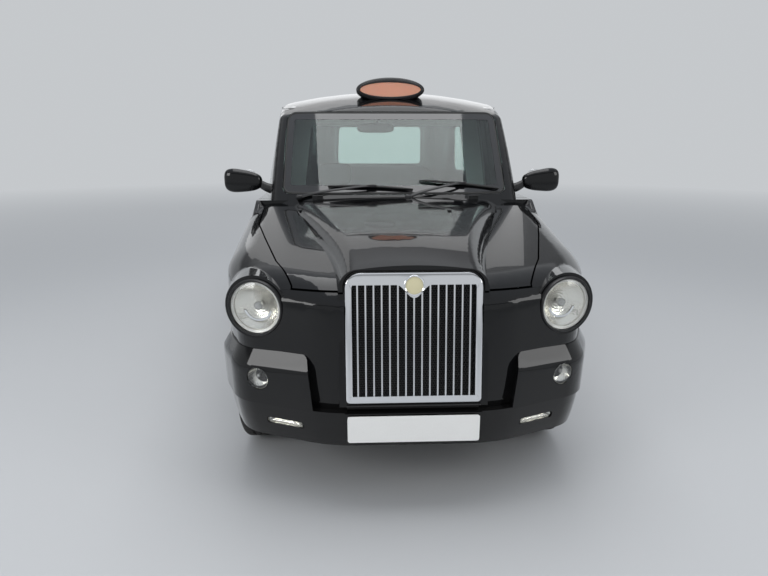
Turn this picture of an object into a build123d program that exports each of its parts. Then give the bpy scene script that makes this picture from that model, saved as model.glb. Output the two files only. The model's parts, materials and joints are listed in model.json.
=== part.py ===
from build123d import *
import math
import os

# A purpose-built black taxi cab, modelled in millimetres.
# X is across the cab, with its left side at +X and the driver at -X. The nose points along -Y, and Z
# is up from the road.
# Places along the cab are written as s, the distance back from the front bumper's face.

# Overall sizes
LENGTH = 4575.0
WHEELBASE = 2886.0
FRONT_OVERHANG = 790.0
TRACK = 1410.0
ROOF_HEIGHT = 1834.0

# Wall and gap sizes
PANEL = 30.0          # bonnet, wings and nose panel
WALL = 60.0           # doors and cab sides
ROOF_WALL = 42.0
GLASS = 5.0
GLASS_SINK = 7.0      # glass face below the panel face
SEAT_GAP = 0.3        # between pieces that seat on each other
SEAM = 0.5            # between fixed panels

# Wheels
TYRE_R = 342.0
TYRE_WIDTH = 178.0
RIM_R = 203.0
RIM_WIDTH = 150.0
SPINDLE_R = 30.0
SPINDLE_PLAY = 0.06
ARCH_R = 400.0
REAR_ARCH_R = 385.0
KINGPIN_X = TRACK / 2 - 92.0
KINGPIN_R = 16.0

FRONT_AXLE_S = FRONT_OVERHANG
REAR_AXLE_S = FRONT_OVERHANG + WHEELBASE

# Plan of the lower body at its widest: (x, s) of each corner, and the radius that rounds it
LOWER_PLAN = [((330, 40), 500), ((690, 190), 180), ((800, 440), 700), ((886, 2300), 4000),
              ((874, 3880), 700), ((700, 4440), 240), ((420, 4545), 420)]
# Levels up the lower body: height, and how far its sides, nose and tail stand in from that plan
LOWER_LEVELS = [(200, 70, 80, 100), (460, 14, 8, 0), (780, 0, 0, 0), (1020, 10, 22, 15),
                (1160, 45, 60, 90)]
BELT_Z = 1160.0

# Plan of the glasshouse at the belt and at the roof rail
HOUSE_BELT_Z, HOUSE_RAIL_Z, HOUSE_TOP_Z = 1140.0, 1720.0, 1860.0
HOUSE_RADII = [500, 90, 600, 2000, 700, 200, 400]
HOUSE_BELT = [(430, 1215), (715, 1320), (808, 1750), (838, 2600), (818, 3700), (660, 4200), (380, 4310)]
HOUSE_RAIL = [(430, 1745), (690, 1830), (724, 2100), (738, 2600), (724, 3450), (600, 3850), (330, 3950)]
HOUSE_BULGE = 12.0    # the side glass stands out by this half way up

SHOULDER_TOP_Z = 948.0     # of the wing tops, carried forward to s = 0
SHOULDER_SLOPE = 0.150
SHOULDER_DEPTH = 120.0
SHOULDER_WIDTH = 150.0

# The raised bonnet centre: place, half width, top height, corner radius and backward lean of each section
BULGE_ROWS = [(12, 290, 1020, 78, 0.12), (330, 335, 1068, 105, 0), (800, 480, 1124, 140, 0),
              (1260, 650, 1172, 170, 0)]
BULGE_CROWN = 14.0
BULGE_FOOT_Z = 486.0

SCUTTLE_S = 1296.0    # where the wings end and the doors begin
FAR = 1300.0
SPLIT_X = 620.0       # between the middle panels and the side frames
GUTTER_Z = 1712.0     # where the roof meets the side frames
BUMPER_FOOT_Z, BUMPER_TOP_Z = 302.0, 458.0
BUMPER_PROUD = 34.0
POD_PROUD = 44.0
HOOD_LINE_Z = 934.0   # lower edge of the bonnet beside the grille
HOOD_REAR_S = 1229.0
HOOD_GAP = 7.0
NOSE_SEAM_X = 679.0   # between the nose panel and the wings

# Lamps in the nose
HEADLAMP_X, HEADLAMP_S, HEADLAMP_Z = 621.0, 146.0, 853.0
HEADLAMP_R = 116.0
HEADLAMP_TURN = 14.0
# The wing's housing behind a headlamp: how far it stands out round the lamp, and where it ends in the wing
HOUSING_LIP = 14.0
HOUSING_SETBACK = 10.0
HOUSING_END = (655.0, 440.0, 868.0, 116.0)     # x, s, z, radius

FRONT_HINGE = (841.0, SCUTTLE_S + 4)     # x, s of the front doors' hinge line
REAR_HINGE = (887.0, 2284.0)
HINGE_R = 4.0
HINGE_EDGE = 3.0          # from a door's hinge line to its edge
HINGE_SIDE_ROOM = 2.5     # the centre post's gap beside the rear door's hinges, in door gaps
DOOR_BOTTOM_Z, DOOR_TOP_Z = 300.0, 1690.0
DOOR_GAP = 6.0
FRONT_DOOR_REACH = 975.0       # from hinge line to shut edge
REAR_DOOR_REACH = 942.0
PILLAR_FOOT = (1385.0, 1125.0)     # s, z where the sloping edge of the front door starts
PILLAR_HEAD = (1890.0, DOOR_TOP_Z)

# Heights of the hinge knuckles of every door, and their length
HINGE_HEIGHTS = (540.0, 930.0)
KNUCKLE = 28.0

WINDOW_SILL_Z, WINDOW_TOP_Z = 1188.0, 1640.0
# Side windows of the front door, the rear door and the quarter: (s, z) corners, and radii
FRONT_WINDOW = ([(1492, WINDOW_SILL_Z), (1900, WINDOW_TOP_Z), (2212, WINDOW_TOP_Z), (2212, WINDOW_SILL_Z)],
                [25, 45, 30, 30])
REAR_WINDOW = ([(2352, WINDOW_SILL_Z), (2352, WINDOW_TOP_Z), (3150, WINDOW_TOP_Z), (3150, WINDOW_SILL_Z)],
               [30, 30, 30, 30])
QUARTER_WINDOW = ([(3300, WINDOW_SILL_Z), (3300, WINDOW_TOP_Z), (3640, WINDOW_TOP_Z), (3880, WINDOW_SILL_Z)],
                  [30, 30, 120, 60])
# Windscreen and rear window: (x, z) corners, and radii
SCREEN = ([(-655, 1192), (-655, 1668), (655, 1668), (655, 1192)], [45, 60, 60, 45])
BACKLIGHT = ([(-470, 1225), (-440, 1655), (440, 1655), (470, 1225)], [70, 70, 70, 70])

# Plan of the bonnet's +X edge, as (x, s), from the nose back
HOOD_EDGE = [(470, -60), (470, 150), (555, 346), (648, 659), (713, 892), (735, 1150)]

LID_HINGE = (4330.0, 1166.0)     # s, z of the boot lid's hinge line
LID_REACH = 578.0
LID_HALF_WIDTH = 470.0

GRILLE_HALF, GRILLE_FOOT_Z, GRILLE_TOP_Z = 266.0, 500.0, 1010.0
GRILLE_LEAN = 0.12

# Number plate and bumper pods
PLATE_HALF, PLATE_Z0, PLATE_Z1, PLATE_THICK = 260.0, 338.0, 449.0, 10.0
POD_X0, POD_X1, POD_Z0, POD_Z1 = 395.0, 900.0, 462.0, 684.0
# The pods' levels: height, and how far they stand out there
POD_LEVELS = [(POD_Z0 - 6, POD_PROUD), (600, POD_PROUD), (624, POD_PROUD - 5), (POD_Z1, 3)]
ROUND_LAMP = (620.0, 566.0, 46.0)      # x, z, radius
SLOT_LAMP = (515.0, 380.0, 155.0, 28.0)     # x, z, width, height

ARCH_FRONT_S = FRONT_AXLE_S - ARCH_R + 18

REAR_BUMPER_S = REAR_AXLE_S + REAR_ARCH_R - 8

REAR_LAMP = [(672, 640), (672, 905), (1000, 905), (1000, 640)]
REAR_LAMP_S = 4335.0      # where the lamp ends on the side

HOOD_HINGE = (HOOD_REAR_S + HINGE_EDGE, 1189.0)    # s, z of the bonnet's hinge line
HOOD_KNUCKLES = (-470.0, 410.0)                      # where each pair of knuckles starts
HOOD_KNUCKLE = 29.0

SILL_INNER_X = 700.0
POST_S0, POST_TOP_Z = 1240.0, 1034.0
CENTRE_POST_S0, CENTRE_POST_S1 = 2240.0, 2330.0
CENTRE_POST_X = REAR_HINGE[0] - WALL - 90     # its inner face
DOOR_INNER_X = 626.0       # the doors have nothing inside this

LID_KNUCKLES = (-330.0, 272.0)

RAIL_X0, RAIL_X1 = 300.0, 370.0
# Side view of the frame rail's top edge, as (s, z), and how deep the rail is
RAIL_TOP = [(300, 330), (3270, 330), (3400, 510), (3965, 510), (4085, 370), (4340, 370)]
RAIL_DEPTH = 100.0
CROSSMEMBERS = [420, 1480, 2284, 3130, 4240]
OUTRIGGERS = [1480, 2284, 3130]
KINGPIN_REACH = 110.0       # from the axle line up and down to the wishbones
WISHBONE_THICK = 24.0

FLOOR_THICK = 14.0

ENGINE_HALF, ENGINE_S0, ENGINE_S1, ENGINE_Z1 = 255.0, 400.0, 1090.0, 880.0

EXHAUST_X, EXHAUST_Z, EXHAUST_R = 205.0, 232.0, 24.0

SPINDLE_END_X = TRACK / 2 + 62
BACKPLATE_X, BACKPLATE_R = KINGPIN_X + 33, 128.0

RIM_SLOTS = 12

HOUSING_THICK = 8.0
REAR_HOUSING_X = 550.0

SEAT_X, SEAT_S = -385.0, 1930.0

FLOOR_TOP = 330.0 + FLOOR_THICK

PARTITION_S = 2408.0

BENCH_FOOT_Z = 510.0 + FLOOR_THICK

COLUMN_TILT = 28.0
WHEEL_CENTRE = (-385.0, 1800.0, 985.0)      # x, s, z
STEERING_R = 190.0

DASH_HALF = 735.0

GRILLE_BARS = 15
GRILLE_PITCH = 31.0

SIGN_S, SIGN_Z, SIGN_HALF, SIGN_HALF_Z, SIGN_DEPTH = 1950.0, 1812.0, 222.0, 76.0, 120.0

MIRROR_CENTRE = (928.0, 1520.0, 1262.0)


def y_at(s):
    """Row Y of a place s behind the front bumper's face."""
    return s - LENGTH / 2


# Outline helpers


def crossing(p, d, q, e):
    """Where the line through p along d meets the line through q along e."""
    t = ((q[0] - p[0]) * e[1] - (q[1] - p[1]) * e[0]) / (d[0] * e[1] - d[1] * e[0])
    return (p[0] + d[0] * t, p[1] + d[1] * t)


def inset_corners(corners, insets):
    """The +X half of a symmetric outline with each of its edges moved inwards by its own inset."""
    loop = [(-corners[0][0], corners[0][1]), *corners, (-corners[-1][0], corners[-1][1])]
    moved = []
    for a, b, inset in zip(loop, loop[1:], insets):
        dx, ds = b[0] - a[0], b[1] - a[1]
        n = math.hypot(dx, ds)
        moved.append(((a[0] - ds / n * inset, a[1] + dx / n * inset), (dx / n, ds / n)))
    return [crossing(*u, *v) for u, v in zip(moved, moved[1:])]


def inset_loop(corners, inset):
    """A closed outline with every edge moved inwards by inset."""
    if not inset:
        return corners
    ahead = corners[1:] + corners[:1]
    turn = sum(a[0] * b[1] - b[0] * a[1] for a, b in zip(corners, ahead))
    sign = 1 if turn > 0 else -1
    moved = []
    for a, b in zip(corners, ahead):
        dx, dy = b[0] - a[0], b[1] - a[1]
        n = math.hypot(dx, dy) * sign
        moved.append(((a[0] - dy / n * inset, a[1] + dx / n * inset), (dx, dy)))
    return [crossing(*u, *v) for u, v in zip(moved[-1:] + moved[:-1], moved)]


def rounded_wire(corners, radii, place):
    """A closed wire of lines and tangent arcs round the corners; place turns a 2D point into a 3D one."""
    count = len(corners)
    bends = []
    for i, (c, r) in enumerate(zip(corners, radii)):
        a, b = corners[i - 1], corners[(i + 1) % count]
        la, lb = math.dist(a, c), math.dist(b, c)
        u = ((a[0] - c[0]) / la, (a[1] - c[1]) / la)
        v = ((b[0] - c[0]) / lb, (b[1] - c[1]) / lb)
        half = math.acos(max(-1.0, min(1.0, u[0] * v[0] + u[1] * v[1]))) / 2
        if r <= 0:
            bends.append((c, None, c))
            continue
        t = r / math.tan(half)
        m = (u[0] + v[0], u[1] + v[1])
        away = (r / math.sin(half) - r) / math.hypot(*m)
        bends.append((
            (c[0] + u[0] * t, c[1] + u[1] * t),
            (c[0] + m[0] * away, c[1] + m[1] * away),
            (c[0] + v[0] * t, c[1] + v[1] * t),
        ))
    edges = []
    for i, (start, middle, end) in enumerate(bends):
        if middle:
            edges.append(ThreePointArc(place(start), place(middle), place(end)))
        following = bends[(i + 1) % count][0]
        if math.dist(end, following) > 1e-6:
            edges.append(Line(place(end), place(following)))
    return Wire(edges)


def plan_wire(corners, radii, z, slope=0.0):
    """A symmetric plan outline at height z, on a plane that climbs towards the tail by slope."""
    loop = [*corners, *[(-x, s) for x, s in reversed(corners)]]
    return rounded_wire(
        loop, [*radii, *reversed(radii)], lambda p: (p[0], y_at(p[1]), z + slope * p[1])
    )


def side_prism(corners, x0, x1, radii=None):
    """A side-view outline of (s, z) corners, carried across from x0 to x1."""
    wire = rounded_wire(corners, radii or [0] * len(corners), lambda p: (x0, y_at(p[0]), p[1]))
    return extrude(Face(wire), amount=x1 - x0, dir=(1, 0, 0))


def front_prism(corners, s0, s1, radii=None):
    """A front-view outline of (x, z) corners, carried back from s0 to s1."""
    wire = rounded_wire(corners, radii or [0] * len(corners), lambda p: (p[0], y_at(s0), p[1]))
    return extrude(Face(wire), amount=s1 - s0, dir=(0, 1, 0))


def plan_prism(corners, z0, z1, radii=None):
    """A plan outline of (x, s) corners, carried up from z0 to z1."""
    wire = rounded_wire(corners, radii or [0] * len(corners), lambda p: (p[0], y_at(p[1]), z0))
    return extrude(Face(wire), amount=z1 - z0, dir=(0, 0, 1))


def block(x0, x1, s0, s1, z0, z1):
    """A plain box between two corners."""
    box = Box(x1 - x0, s1 - s0, z1 - z0)
    return Pos((x0 + x1) / 2, y_at((s0 + s1) / 2), (z0 + z1) / 2) * box


def rod_x(radius, x0, x1, s, z):
    """A round bar across the cab."""
    return Pos((x0 + x1) / 2, y_at(s), z) * Rot(0, 90, 0) * Cylinder(radius, abs(x1 - x0))


def rod_y(radius, x, s0, s1, z):
    """A round bar along the cab."""
    return Pos(x, y_at((s0 + s1) / 2), z) * Rot(90, 0, 0) * Cylinder(radius, abs(s1 - s0))


def rod_z(radius, x, s, z0, z1):
    """An upright round bar."""
    return Pos(x, y_at(s), (z0 + z1) / 2) * Cylinder(radius, z1 - z0)


def revolve_about_y(profile, x, s, z):
    """(radius, distance back) corners turned about a fore-and-aft line."""
    face = Face(Wire.make_polygon([(x + r, y_at(s + d), z) for r, d in profile]))
    return revolve(face, axis=Axis((x, y_at(s), z), (0, 1, 0)))


def revolve_about_x(profile, s, z):
    """(radius, x) corners turned about the line across the cab at s, z."""
    face = Face(Wire.make_polygon([(x, y_at(s), z + r) for r, x in profile]))
    return revolve(face, axis=Axis((0, y_at(s), z), (1, 0, 0)))


def other_side(shape):
    """The mirror image across the cab's centre plane."""
    return mirror(shape, about=Plane.YZ)


def solids_of(shape, least=200.0):
    """The solids of a shape, without cutting slivers below least cubic millimetres."""
    found = shape.solids() if hasattr(shape, "solids") else [x for s in shape for x in s.solids()]
    return [s for s in found if s.volume > least]


def save(name, *shapes):
    """Writes one node as a STEP file of closed solids."""
    solids = [s for shape in shapes for s in solids_of(shape)]
    export_step(Compound(solids), f"parts/{name}.step")


# The body's outer form


def lower_body(inset=0.0, bottom=200.0, top_drop=0.0):
    """The lower body from sill to belt, as a loft through its plan levels."""
    corners = [p for p, _ in LOWER_PLAN]
    wires = []
    for z, side, nose, tail in LOWER_LEVELS:
        edges = [nose, nose, (nose + side) / 2, side, side, (side + tail) / 2, tail, tail]
        level = inset_corners(corners, [e + inset for e in edges])
        if z == LOWER_LEVELS[0][0]:
            z = bottom
        if z == BELT_Z:
            z = BELT_Z - top_drop
        wires.append(plan_wire(level, [r for _, r in LOWER_PLAN], z))
    return Solid.make_loft(wires)


def glasshouse(inset=0.0):
    """The upper cab from belt to roof, as a loft with raked ends and leaning sides."""
    wires = []
    for z, bulge in ((HOUSE_BELT_Z - 40, 0), ((HOUSE_BELT_Z + HOUSE_TOP_Z) / 2 - 20, HOUSE_BULGE),
        (HOUSE_TOP_Z, 0)):
        k = (z - HOUSE_BELT_Z) / (HOUSE_RAIL_Z - HOUSE_BELT_Z)
        corners = [(a[0] + (b[0] - a[0]) * k, a[1] + (b[1] - a[1]) * k)
                   for a, b in zip(HOUSE_BELT, HOUSE_RAIL)]
        level = inset_corners(corners, [inset - bulge] * (len(corners) + 1))
        wires.append(plan_wire(level, HOUSE_RADII, z))
    return Solid.make_loft(wires)


def roof_dome(drop=0.0):
    """The space under the roof's crown: side-view outlines lofted across the cab."""
    wires = []
    for x, camber in ((-800, 95), (0, 0), (800, 95)):
        low = drop + camber
        def place(s, z):
            return (x, y_at(s), z)
        base, nose, rise = (1100, 900), (1100, ROOF_HEIGHT - 430 - low), (1780, ROOF_HEIGHT - 112 - low)
        front, mid = (2400, ROOF_HEIGHT - low), (2850, ROOF_HEIGHT + 4 - low)
        rear, fall, end = (3300, ROOF_HEIGHT - 14 - low), (3800, ROOF_HEIGHT - 89 - low), (4300, 1480 - low)
        tail_base = (end[0], base[1])
        wires.append(Wire([
            Line(place(*base), place(*nose)),
            ThreePointArc(place(*nose), place(*rise), place(*front)),
            ThreePointArc(place(*front), place(*mid), place(*rear)),
            ThreePointArc(place(*rear), place(*fall), place(*end)),
            Line(place(*end), place(*tail_base)),
            Line(place(*tail_base), place(*base)),
        ]))
    return Solid.make_loft(wires)


def wing_shoulders(inset=0.0):
    """The rounded tops of the nose and wings: plan outlines on planes that climb to the scuttle."""
    corners = [p for p, _ in LOWER_PLAN]
    radii = [r for _, r in LOWER_PLAN]

    def level(z, step):
        ring = inset_corners(corners, [step + inset] * (len(corners) + 1))
        return plan_wire(ring, [max(r - step * 0.5, 60) for r in radii], z, SHOULDER_SLOPE)
    top, start = SHOULDER_TOP_Z - inset, -4.0
    base = extrude(Face(level(top - SHOULDER_DEPTH - 600, start)), amount=600, dir=(0, 0, 1))
    rows = []
    for turn in (0, 30, 60, 90):
        a = math.radians(turn)
        rows.append(level(top - SHOULDER_DEPTH * (1 - math.sin(a)),
            SHOULDER_WIDTH * (1 - math.cos(a)) + start))
    return base + Solid.make_loft(rows)


def bonnet_bulge(inset=0.0, foot=BULGE_FOOT_Z):
    """The raised centre that runs from the grille to the windscreen, as a loft of arched sections."""
    wires = []
    k = math.sqrt(0.5)
    for i, (s, half, top, r, lean) in enumerate(BULGE_ROWS):
        half, top, r = half - inset, top - inset, max(r - inset, 20)
        s += inset if i == 0 else 0

        def at(x, z):
            return (x, y_at(s + lean * (z - BULGE_FOOT_Z)), z)
        wires.append(Wire([
            Line(at(-half, foot), at(half, foot)),
            Line(at(half, foot), at(half, top - r)),
            ThreePointArc(at(half, top - r), at(half - r + r * k, top - r + r * k), at(half - r, top)),
            ThreePointArc(at(half - r, top), at(0, top + BULGE_CROWN), at(r - half, top)),
            ThreePointArc(at(r - half, top), at(r - half - r * k, top - r + r * k), at(-half, top - r)),
            Line(at(-half, top - r), at(-half, foot)),
        ]))
    return Solid.make_loft(wires)


os.makedirs("parts", exist_ok=True)


lower = lower_body()
house = glasshouse() & roof_dome()
house = house.fillet(60, [e for e in house.edges() if e.center().Z > 1600])
cab_inner = lower_body(WALL, 150.0, 45.0) + (glasshouse(WALL) & roof_dome(ROOF_WALL))
cab_outer = (lower & block(-FAR, FAR, SCUTTLE_S, LENGTH + 50, 100, 1300)) + house
cab_shell = cab_outer - cab_inner


def lamp_housing():
    """The round form that runs from a headlamp's ring back into the wing."""
    x, s, z, r = HOUSING_END
    lamp = Pos(HEADLAMP_X, y_at(HEADLAMP_S), HEADLAMP_Z) * Rot(0, 0, HEADLAMP_TURN)
    front = lamp * Pos(0, HOUSING_SETBACK, 0)
    rings = [front * Rot(90, 0, 0) * Circle(HEADLAMP_R + HOUSING_LIP),
        Pos(x, y_at(s), z) * Rot(90, 0, 0) * Circle(r)]
    return loft(rings)


def both_sides(shape):
    """The shape and its mirror image."""
    return [shape, other_side(shape)]


front_zone = block(-FAR, FAR, -50, SCUTTLE_S - SEAM, 100, 1300)
front_outer = ((lower & wing_shoulders()) + [bonnet_bulge(), *both_sides(lamp_housing())]) & front_zone
front_inner = (lower_body(PANEL, 150.0) & wing_shoulders(PANEL)) + bonnet_bulge(PANEL, BULGE_FOOT_Z + PANEL)
front_shell = front_outer - front_inner
house_skin = glasshouse(-SEAM)

# Openings cut through the body


def door_space(front, grow=0.0):
    """The space that a +X door takes, larger by grow round its edges."""
    x0, x1 = 400, 1100
    z0, z1 = DOOR_BOTTOM_Z - grow, DOOR_TOP_Z + grow
    if front:
        s0 = FRONT_HINGE[1] + HINGE_EDGE - grow * 1.1
        space = side_prism([
            (s0, z0), (s0, PILLAR_FOOT[1] + grow), (PILLAR_FOOT[0] - grow, PILLAR_FOOT[1] + grow),
            (PILLAR_HEAD[0] - grow, z1), (3000, z1), (3000, z0),
        ], x0, x1)
        return space & rod_z(FRONT_DOOR_REACH + grow, *FRONT_HINGE, 0, 2000)
    space = block(x0, x1, REAR_HINGE[1] + HINGE_EDGE - HINGE_SIDE_ROOM * grow, 3600, z0, z1)
    return space & rod_z(REAR_DOOR_REACH + grow, *REAR_HINGE, 0, 2000)


def hinge_half(hinge, top, lean):
    """Knuckles and leaves of one side of a door hinge: on the door (lean 1) or on the body (lean -1)."""
    x, s = hinge
    pieces = []
    for z in HINGE_HEIGHTS:
        z0 = z + (KNUCKLE + SEAT_GAP if top else 0)
        pieces.append(rod_z(HINGE_R, x, s, z0, z0 + KNUCKLE))
        s0, s1 = sorted((s, s + lean * (HINGE_EDGE + 3)))
        pieces.append(block(x - 46, x, s0, s1, z0, z0 + KNUCKLE) if lean > 0 else
                      block(x - 90, x, s - HINGE_R, s - 0.5, z0, z0 + KNUCKLE))
    return pieces


def hinge_scallops(hinge):
    """Room round a door's hinge knuckles."""
    return [rod_z(HINGE_R + 2, *hinge, z - 2, z + 2 * KNUCKLE + 2) for z in HINGE_HEIGHTS]


def window_prism(window, side=True, inset=0.0):
    """The prism of a window's outline standing in by inset: from the +X side, or from an end."""
    corners, radii = inset_loop(window[0], inset), [r - inset for r in window[1]]
    if side:
        return side_prism(corners, 400, 1100, radii)
    s0, s1 = (1000, 2200) if window is SCREEN else (3700, 4500)
    return front_prism(corners, s0, s1, radii)


quarter_cut = window_prism(QUARTER_WINDOW)
screen_cut = window_prism(SCREEN, False)
backlight_cut = window_prism(BACKLIGHT, False)
glass_outside, glass_inside = glasshouse(GLASS_SINK), glasshouse(GLASS_SINK + GLASS)

front_arches = [rod_x(ARCH_R, side * 560, side * 1000, FRONT_AXLE_S, TYRE_R) for side in (-1, 1)]
rear_arches = [rod_x(REAR_ARCH_R, side * 560, side * 1000, REAR_AXLE_S, TYRE_R) for side in (-1, 1)]


def bonnet_space(grow=0.0):
    """The space that the bonnet takes, larger by grow round its edges."""
    half = [(x + grow, s) for x, s in HOOD_EDGE] + [(HOOD_EDGE[-1][0] + grow, HOOD_REAR_S + grow)]
    loop = half + [(-x, s) for x, s in reversed(half)]
    return plan_prism(loop, HOOD_LINE_Z - grow, 1300)


def boot_lid_space(grow=0.0):
    """The space that the boot lid takes, larger by grow round its edges."""
    half = LID_HALF_WIDTH + grow
    space = block(-half, half, LID_HINGE[0] + HINGE_EDGE - grow, LENGTH + 100, 500, 1300)
    return space & rod_x(LID_REACH + grow, -FAR, FAR, *LID_HINGE)


def headlamp_form(profile, side=1):
    """(radius, distance back) corners turned about the headlamp's own line."""
    form = revolve_about_y(profile, 0, LENGTH / 2, 0)
    return Pos(side * HEADLAMP_X, y_at(HEADLAMP_S), HEADLAMP_Z) * Rot(0, 0, side * HEADLAMP_TURN) * form


def flat(items):
    """One list of the items, some of which are lists."""
    return [one for item in items for one in (item if isinstance(item, list) else [item])]


def cut(shape, *tools):
    """The shape less every tool, each of which may be a list."""
    return shape - flat(tools)


headlamp_hole = both_sides(headlamp_form([(0, -200), (HEADLAMP_R + SEAT_GAP, -200),
    (HEADLAMP_R + SEAT_GAP, 300), (0, 300)]))
headlamp_clear = both_sides(headlamp_form([(0, -200), (HEADLAMP_R + 6, -200), (HEADLAMP_R + 6, 300),
    (0, 300)]))


def grille_prism(grow=0.0):
    """The grille's rounded outline carried back through the nose, larger by grow."""
    half, z0, z1 = GRILLE_HALF + grow, GRILLE_FOOT_Z - grow, GRILLE_TOP_Z + grow
    return front_prism([(-half, z0), (-half, z1), (half, z1), (half, z0)], -100, 160, [18, 62, 62, 18])


def leaning_slab(front, back):
    """The slab between two planes that lean back with the grille."""
    def s_of(z, depth):
        return BULGE_ROWS[0][0] + GRILLE_LEAN * (z - BULGE_FOOT_Z) + depth
    return side_prism([(s_of(400, front), 400), (s_of(1100, front), 1100), (s_of(1100, back), 1100),
                       (s_of(400, back), 400)], -400, 400)


def pod_form():
    """The pods' outer form: straight up to a shoulder, then a slope back to the nose."""
    corners = [p for p, _ in LOWER_PLAN]
    low, high = LOWER_LEVELS[1], LOWER_LEVELS[2]
    wires = []
    for z, out in POD_LEVELS:
        k = (z - low[0]) / (high[0] - low[0])
        side, nose, tail = (a + (b - a) * k - out for a, b in zip(low[1:], high[1:]))
        insets = [nose, nose, (nose + side) / 2, side, side, (side + tail) / 2, tail, tail]
        level = inset_corners(corners, insets)
        wires.append(plan_wire(level, [r for _, r in LOWER_PLAN], z))
    return Solid.make_loft(wires, ruled=True)


proud_body = lower_body(-BUMPER_PROUD)
round_lamp_hole = both_sides(rod_y(ROUND_LAMP[2] + SEAT_GAP, ROUND_LAMP[0], -50, 400, ROUND_LAMP[1]))


def slot_prism(grow=0.0):
    """The slot lamp's outline carried back through the bumper."""
    x, z, w, h = SLOT_LAMP
    w, h = w / 2 + grow, h / 2 + grow
    return front_prism([(x - w, z - h), (x - w, z + h), (x + w, z + h), (x + w, z - h)], -50, 400, [10] * 4)


# Panels

bumper_zone = block(-FAR, FAR, -60, ARCH_FRONT_S, BUMPER_FOOT_Z, BUMPER_TOP_Z)
nose_clear = block(-FAR, FAR, -60, ARCH_FRONT_S, 100, BUMPER_TOP_Z + SEAM)
rear_bumper_zone = block(-FAR, FAR, REAR_BUMPER_S, LENGTH, 100, BUMPER_TOP_Z)
tail_clear = block(-FAR, FAR, REAR_BUMPER_S - SEAM, LENGTH + 99, 100, BUMPER_TOP_Z + SEAM)


def within(shape, x0, x1, z0=0.0, z1=2300.0, s0=-100.0, s1=LENGTH + 100.0):
    """The part of a shape between x0 and x1, and between the given heights and places."""
    return shape & block(x0, x1, s0, s1, z0, z1)


cabin_clear = lower_body(WALL + DOOR_GAP, 150.0, 45.0)
front_clear = lower_body(PANEL + SEAT_GAP, 150.0)
rear_clear = lower_body(WALL + SEAT_GAP, 150.0, 45.0)
cabin_clear_all = cabin_clear + (glasshouse(WALL + DOOR_GAP) & roof_dome(ROOF_WALL + 4))
pillar_layer = (glasshouse(WALL + DOOR_GAP) & roof_dome(ROOF_WALL)) - glasshouse(WALL + DOOR_GAP + 34)
rear_lamp_hole = front_prism(REAR_LAMP, REAR_LAMP_S, 4700, [14] * 4)


def lid_hinge(line, starts, on_lid, reach, drop):
    """Knuckles and leaves across the cab: on the lid, or on the fixed panel beside it."""
    s, z = line
    pieces = []
    for x in starts:
        x0 = x + (0 if on_lid else HOOD_KNUCKLE + SEAT_GAP)
        pieces.append(rod_x(HINGE_R, x0, x0 + HOOD_KNUCKLE, s, z))
        s0, s1 = sorted((s, s + reach))
        pieces.append(block(x0, x0 + HOOD_KNUCKLE, s0, s1, z - drop, z))
    return pieces


def join(shape, *pieces):
    """The shape with every piece fused to it, each of which may be a list."""
    return shape + flat(pieces)


def bonnet():
    """The lifting bonnet with its hinge knuckles."""
    panel = cut(front_shell & bonnet_space(), headlamp_clear, grille_prism(6))
    return join(largest(panel), lid_hinge(HOOD_HINGE, HOOD_KNUCKLES, True, -14, 30))


def wings():
    """Both front wings."""
    crest = HOOD_LINE_Z - HOOD_GAP + SEAM
    zone = join(block(NOSE_SEAM_X, FAR, -100, SCUTTLE_S, 100, 1300),
                block(400, NOSE_SEAM_X + 1, -100, HOOD_REAR_S, crest, 1300),
                block(SPLIT_X, NOSE_SEAM_X + 1, HOOD_REAR_S - 1, SCUTTLE_S, crest, 1300))
    tools = [bonnet_space(HOOD_GAP), nose_clear, *front_arches, *headlamp_hole, house_skin]
    return [largest(cut(front_shell & side, tools)) for side in both_sides(zone)]


def front_panel():
    """The nose panel between the wings, round the grille and the lamps."""
    inner_x = NOSE_SEAM_X - SEAM
    panel = within(front_shell, -inner_x, inner_x, BUMPER_TOP_Z + SEAM, HOOD_LINE_Z - HOOD_GAP, s1=330)
    return largest(cut(panel, headlamp_hole, grille_prism(SEAT_GAP)))


def front_bumper():
    """The bumper skin with its plate stand and the two lamp pods."""
    skin = (proud_body & bumper_zone) - lower_body(PANEL, 150.0)
    x, z0, z1 = PLATE_HALF + 10, PLATE_Z0 - 6, BUMPER_TOP_Z - 2
    skin = skin + (block(-x, x, PLATE_THICK + SEAT_GAP, 120, z0, z1) - lower_body(PANEL - 10, 150.0))
    skin = cut(skin, front_arches, [both_sides(slot_prism(SEAT_GAP))[i] for i in (0, 1)])
    pod_body = pod_form() - lower_body(-SEAM)
    pods = []
    for pod in both_sides(pod_body & front_prism([
        (POD_X0, POD_Z0 - 4), (POD_X0 + 22, POD_Z1), (POD_X1, POD_Z1 - 14), (POD_X1, POD_Z0 - 4),
    ], -60, 400, [2, 26, 2, 2])):
        pods.append(largest(cut(pod, front_arches, round_lamp_hole)))
    return join(skin, pods)


def rear_bumper():
    """The rear bumper skin."""
    skin = (proud_body & rear_bumper_zone) - lower_body(PANEL, 150.0)
    return cut(skin, rear_arches)


header_zone = [block(-SPLIT_X, SPLIT_X, 1500, 2400, 1640, 2300),
    block(-SPLIT_X, SPLIT_X, 3500, 4400, 1648, 2300)]


def largest(shape):
    """The largest solid of a shape."""
    return max(solids_of(shape), key=lambda one: one.volume)


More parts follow.
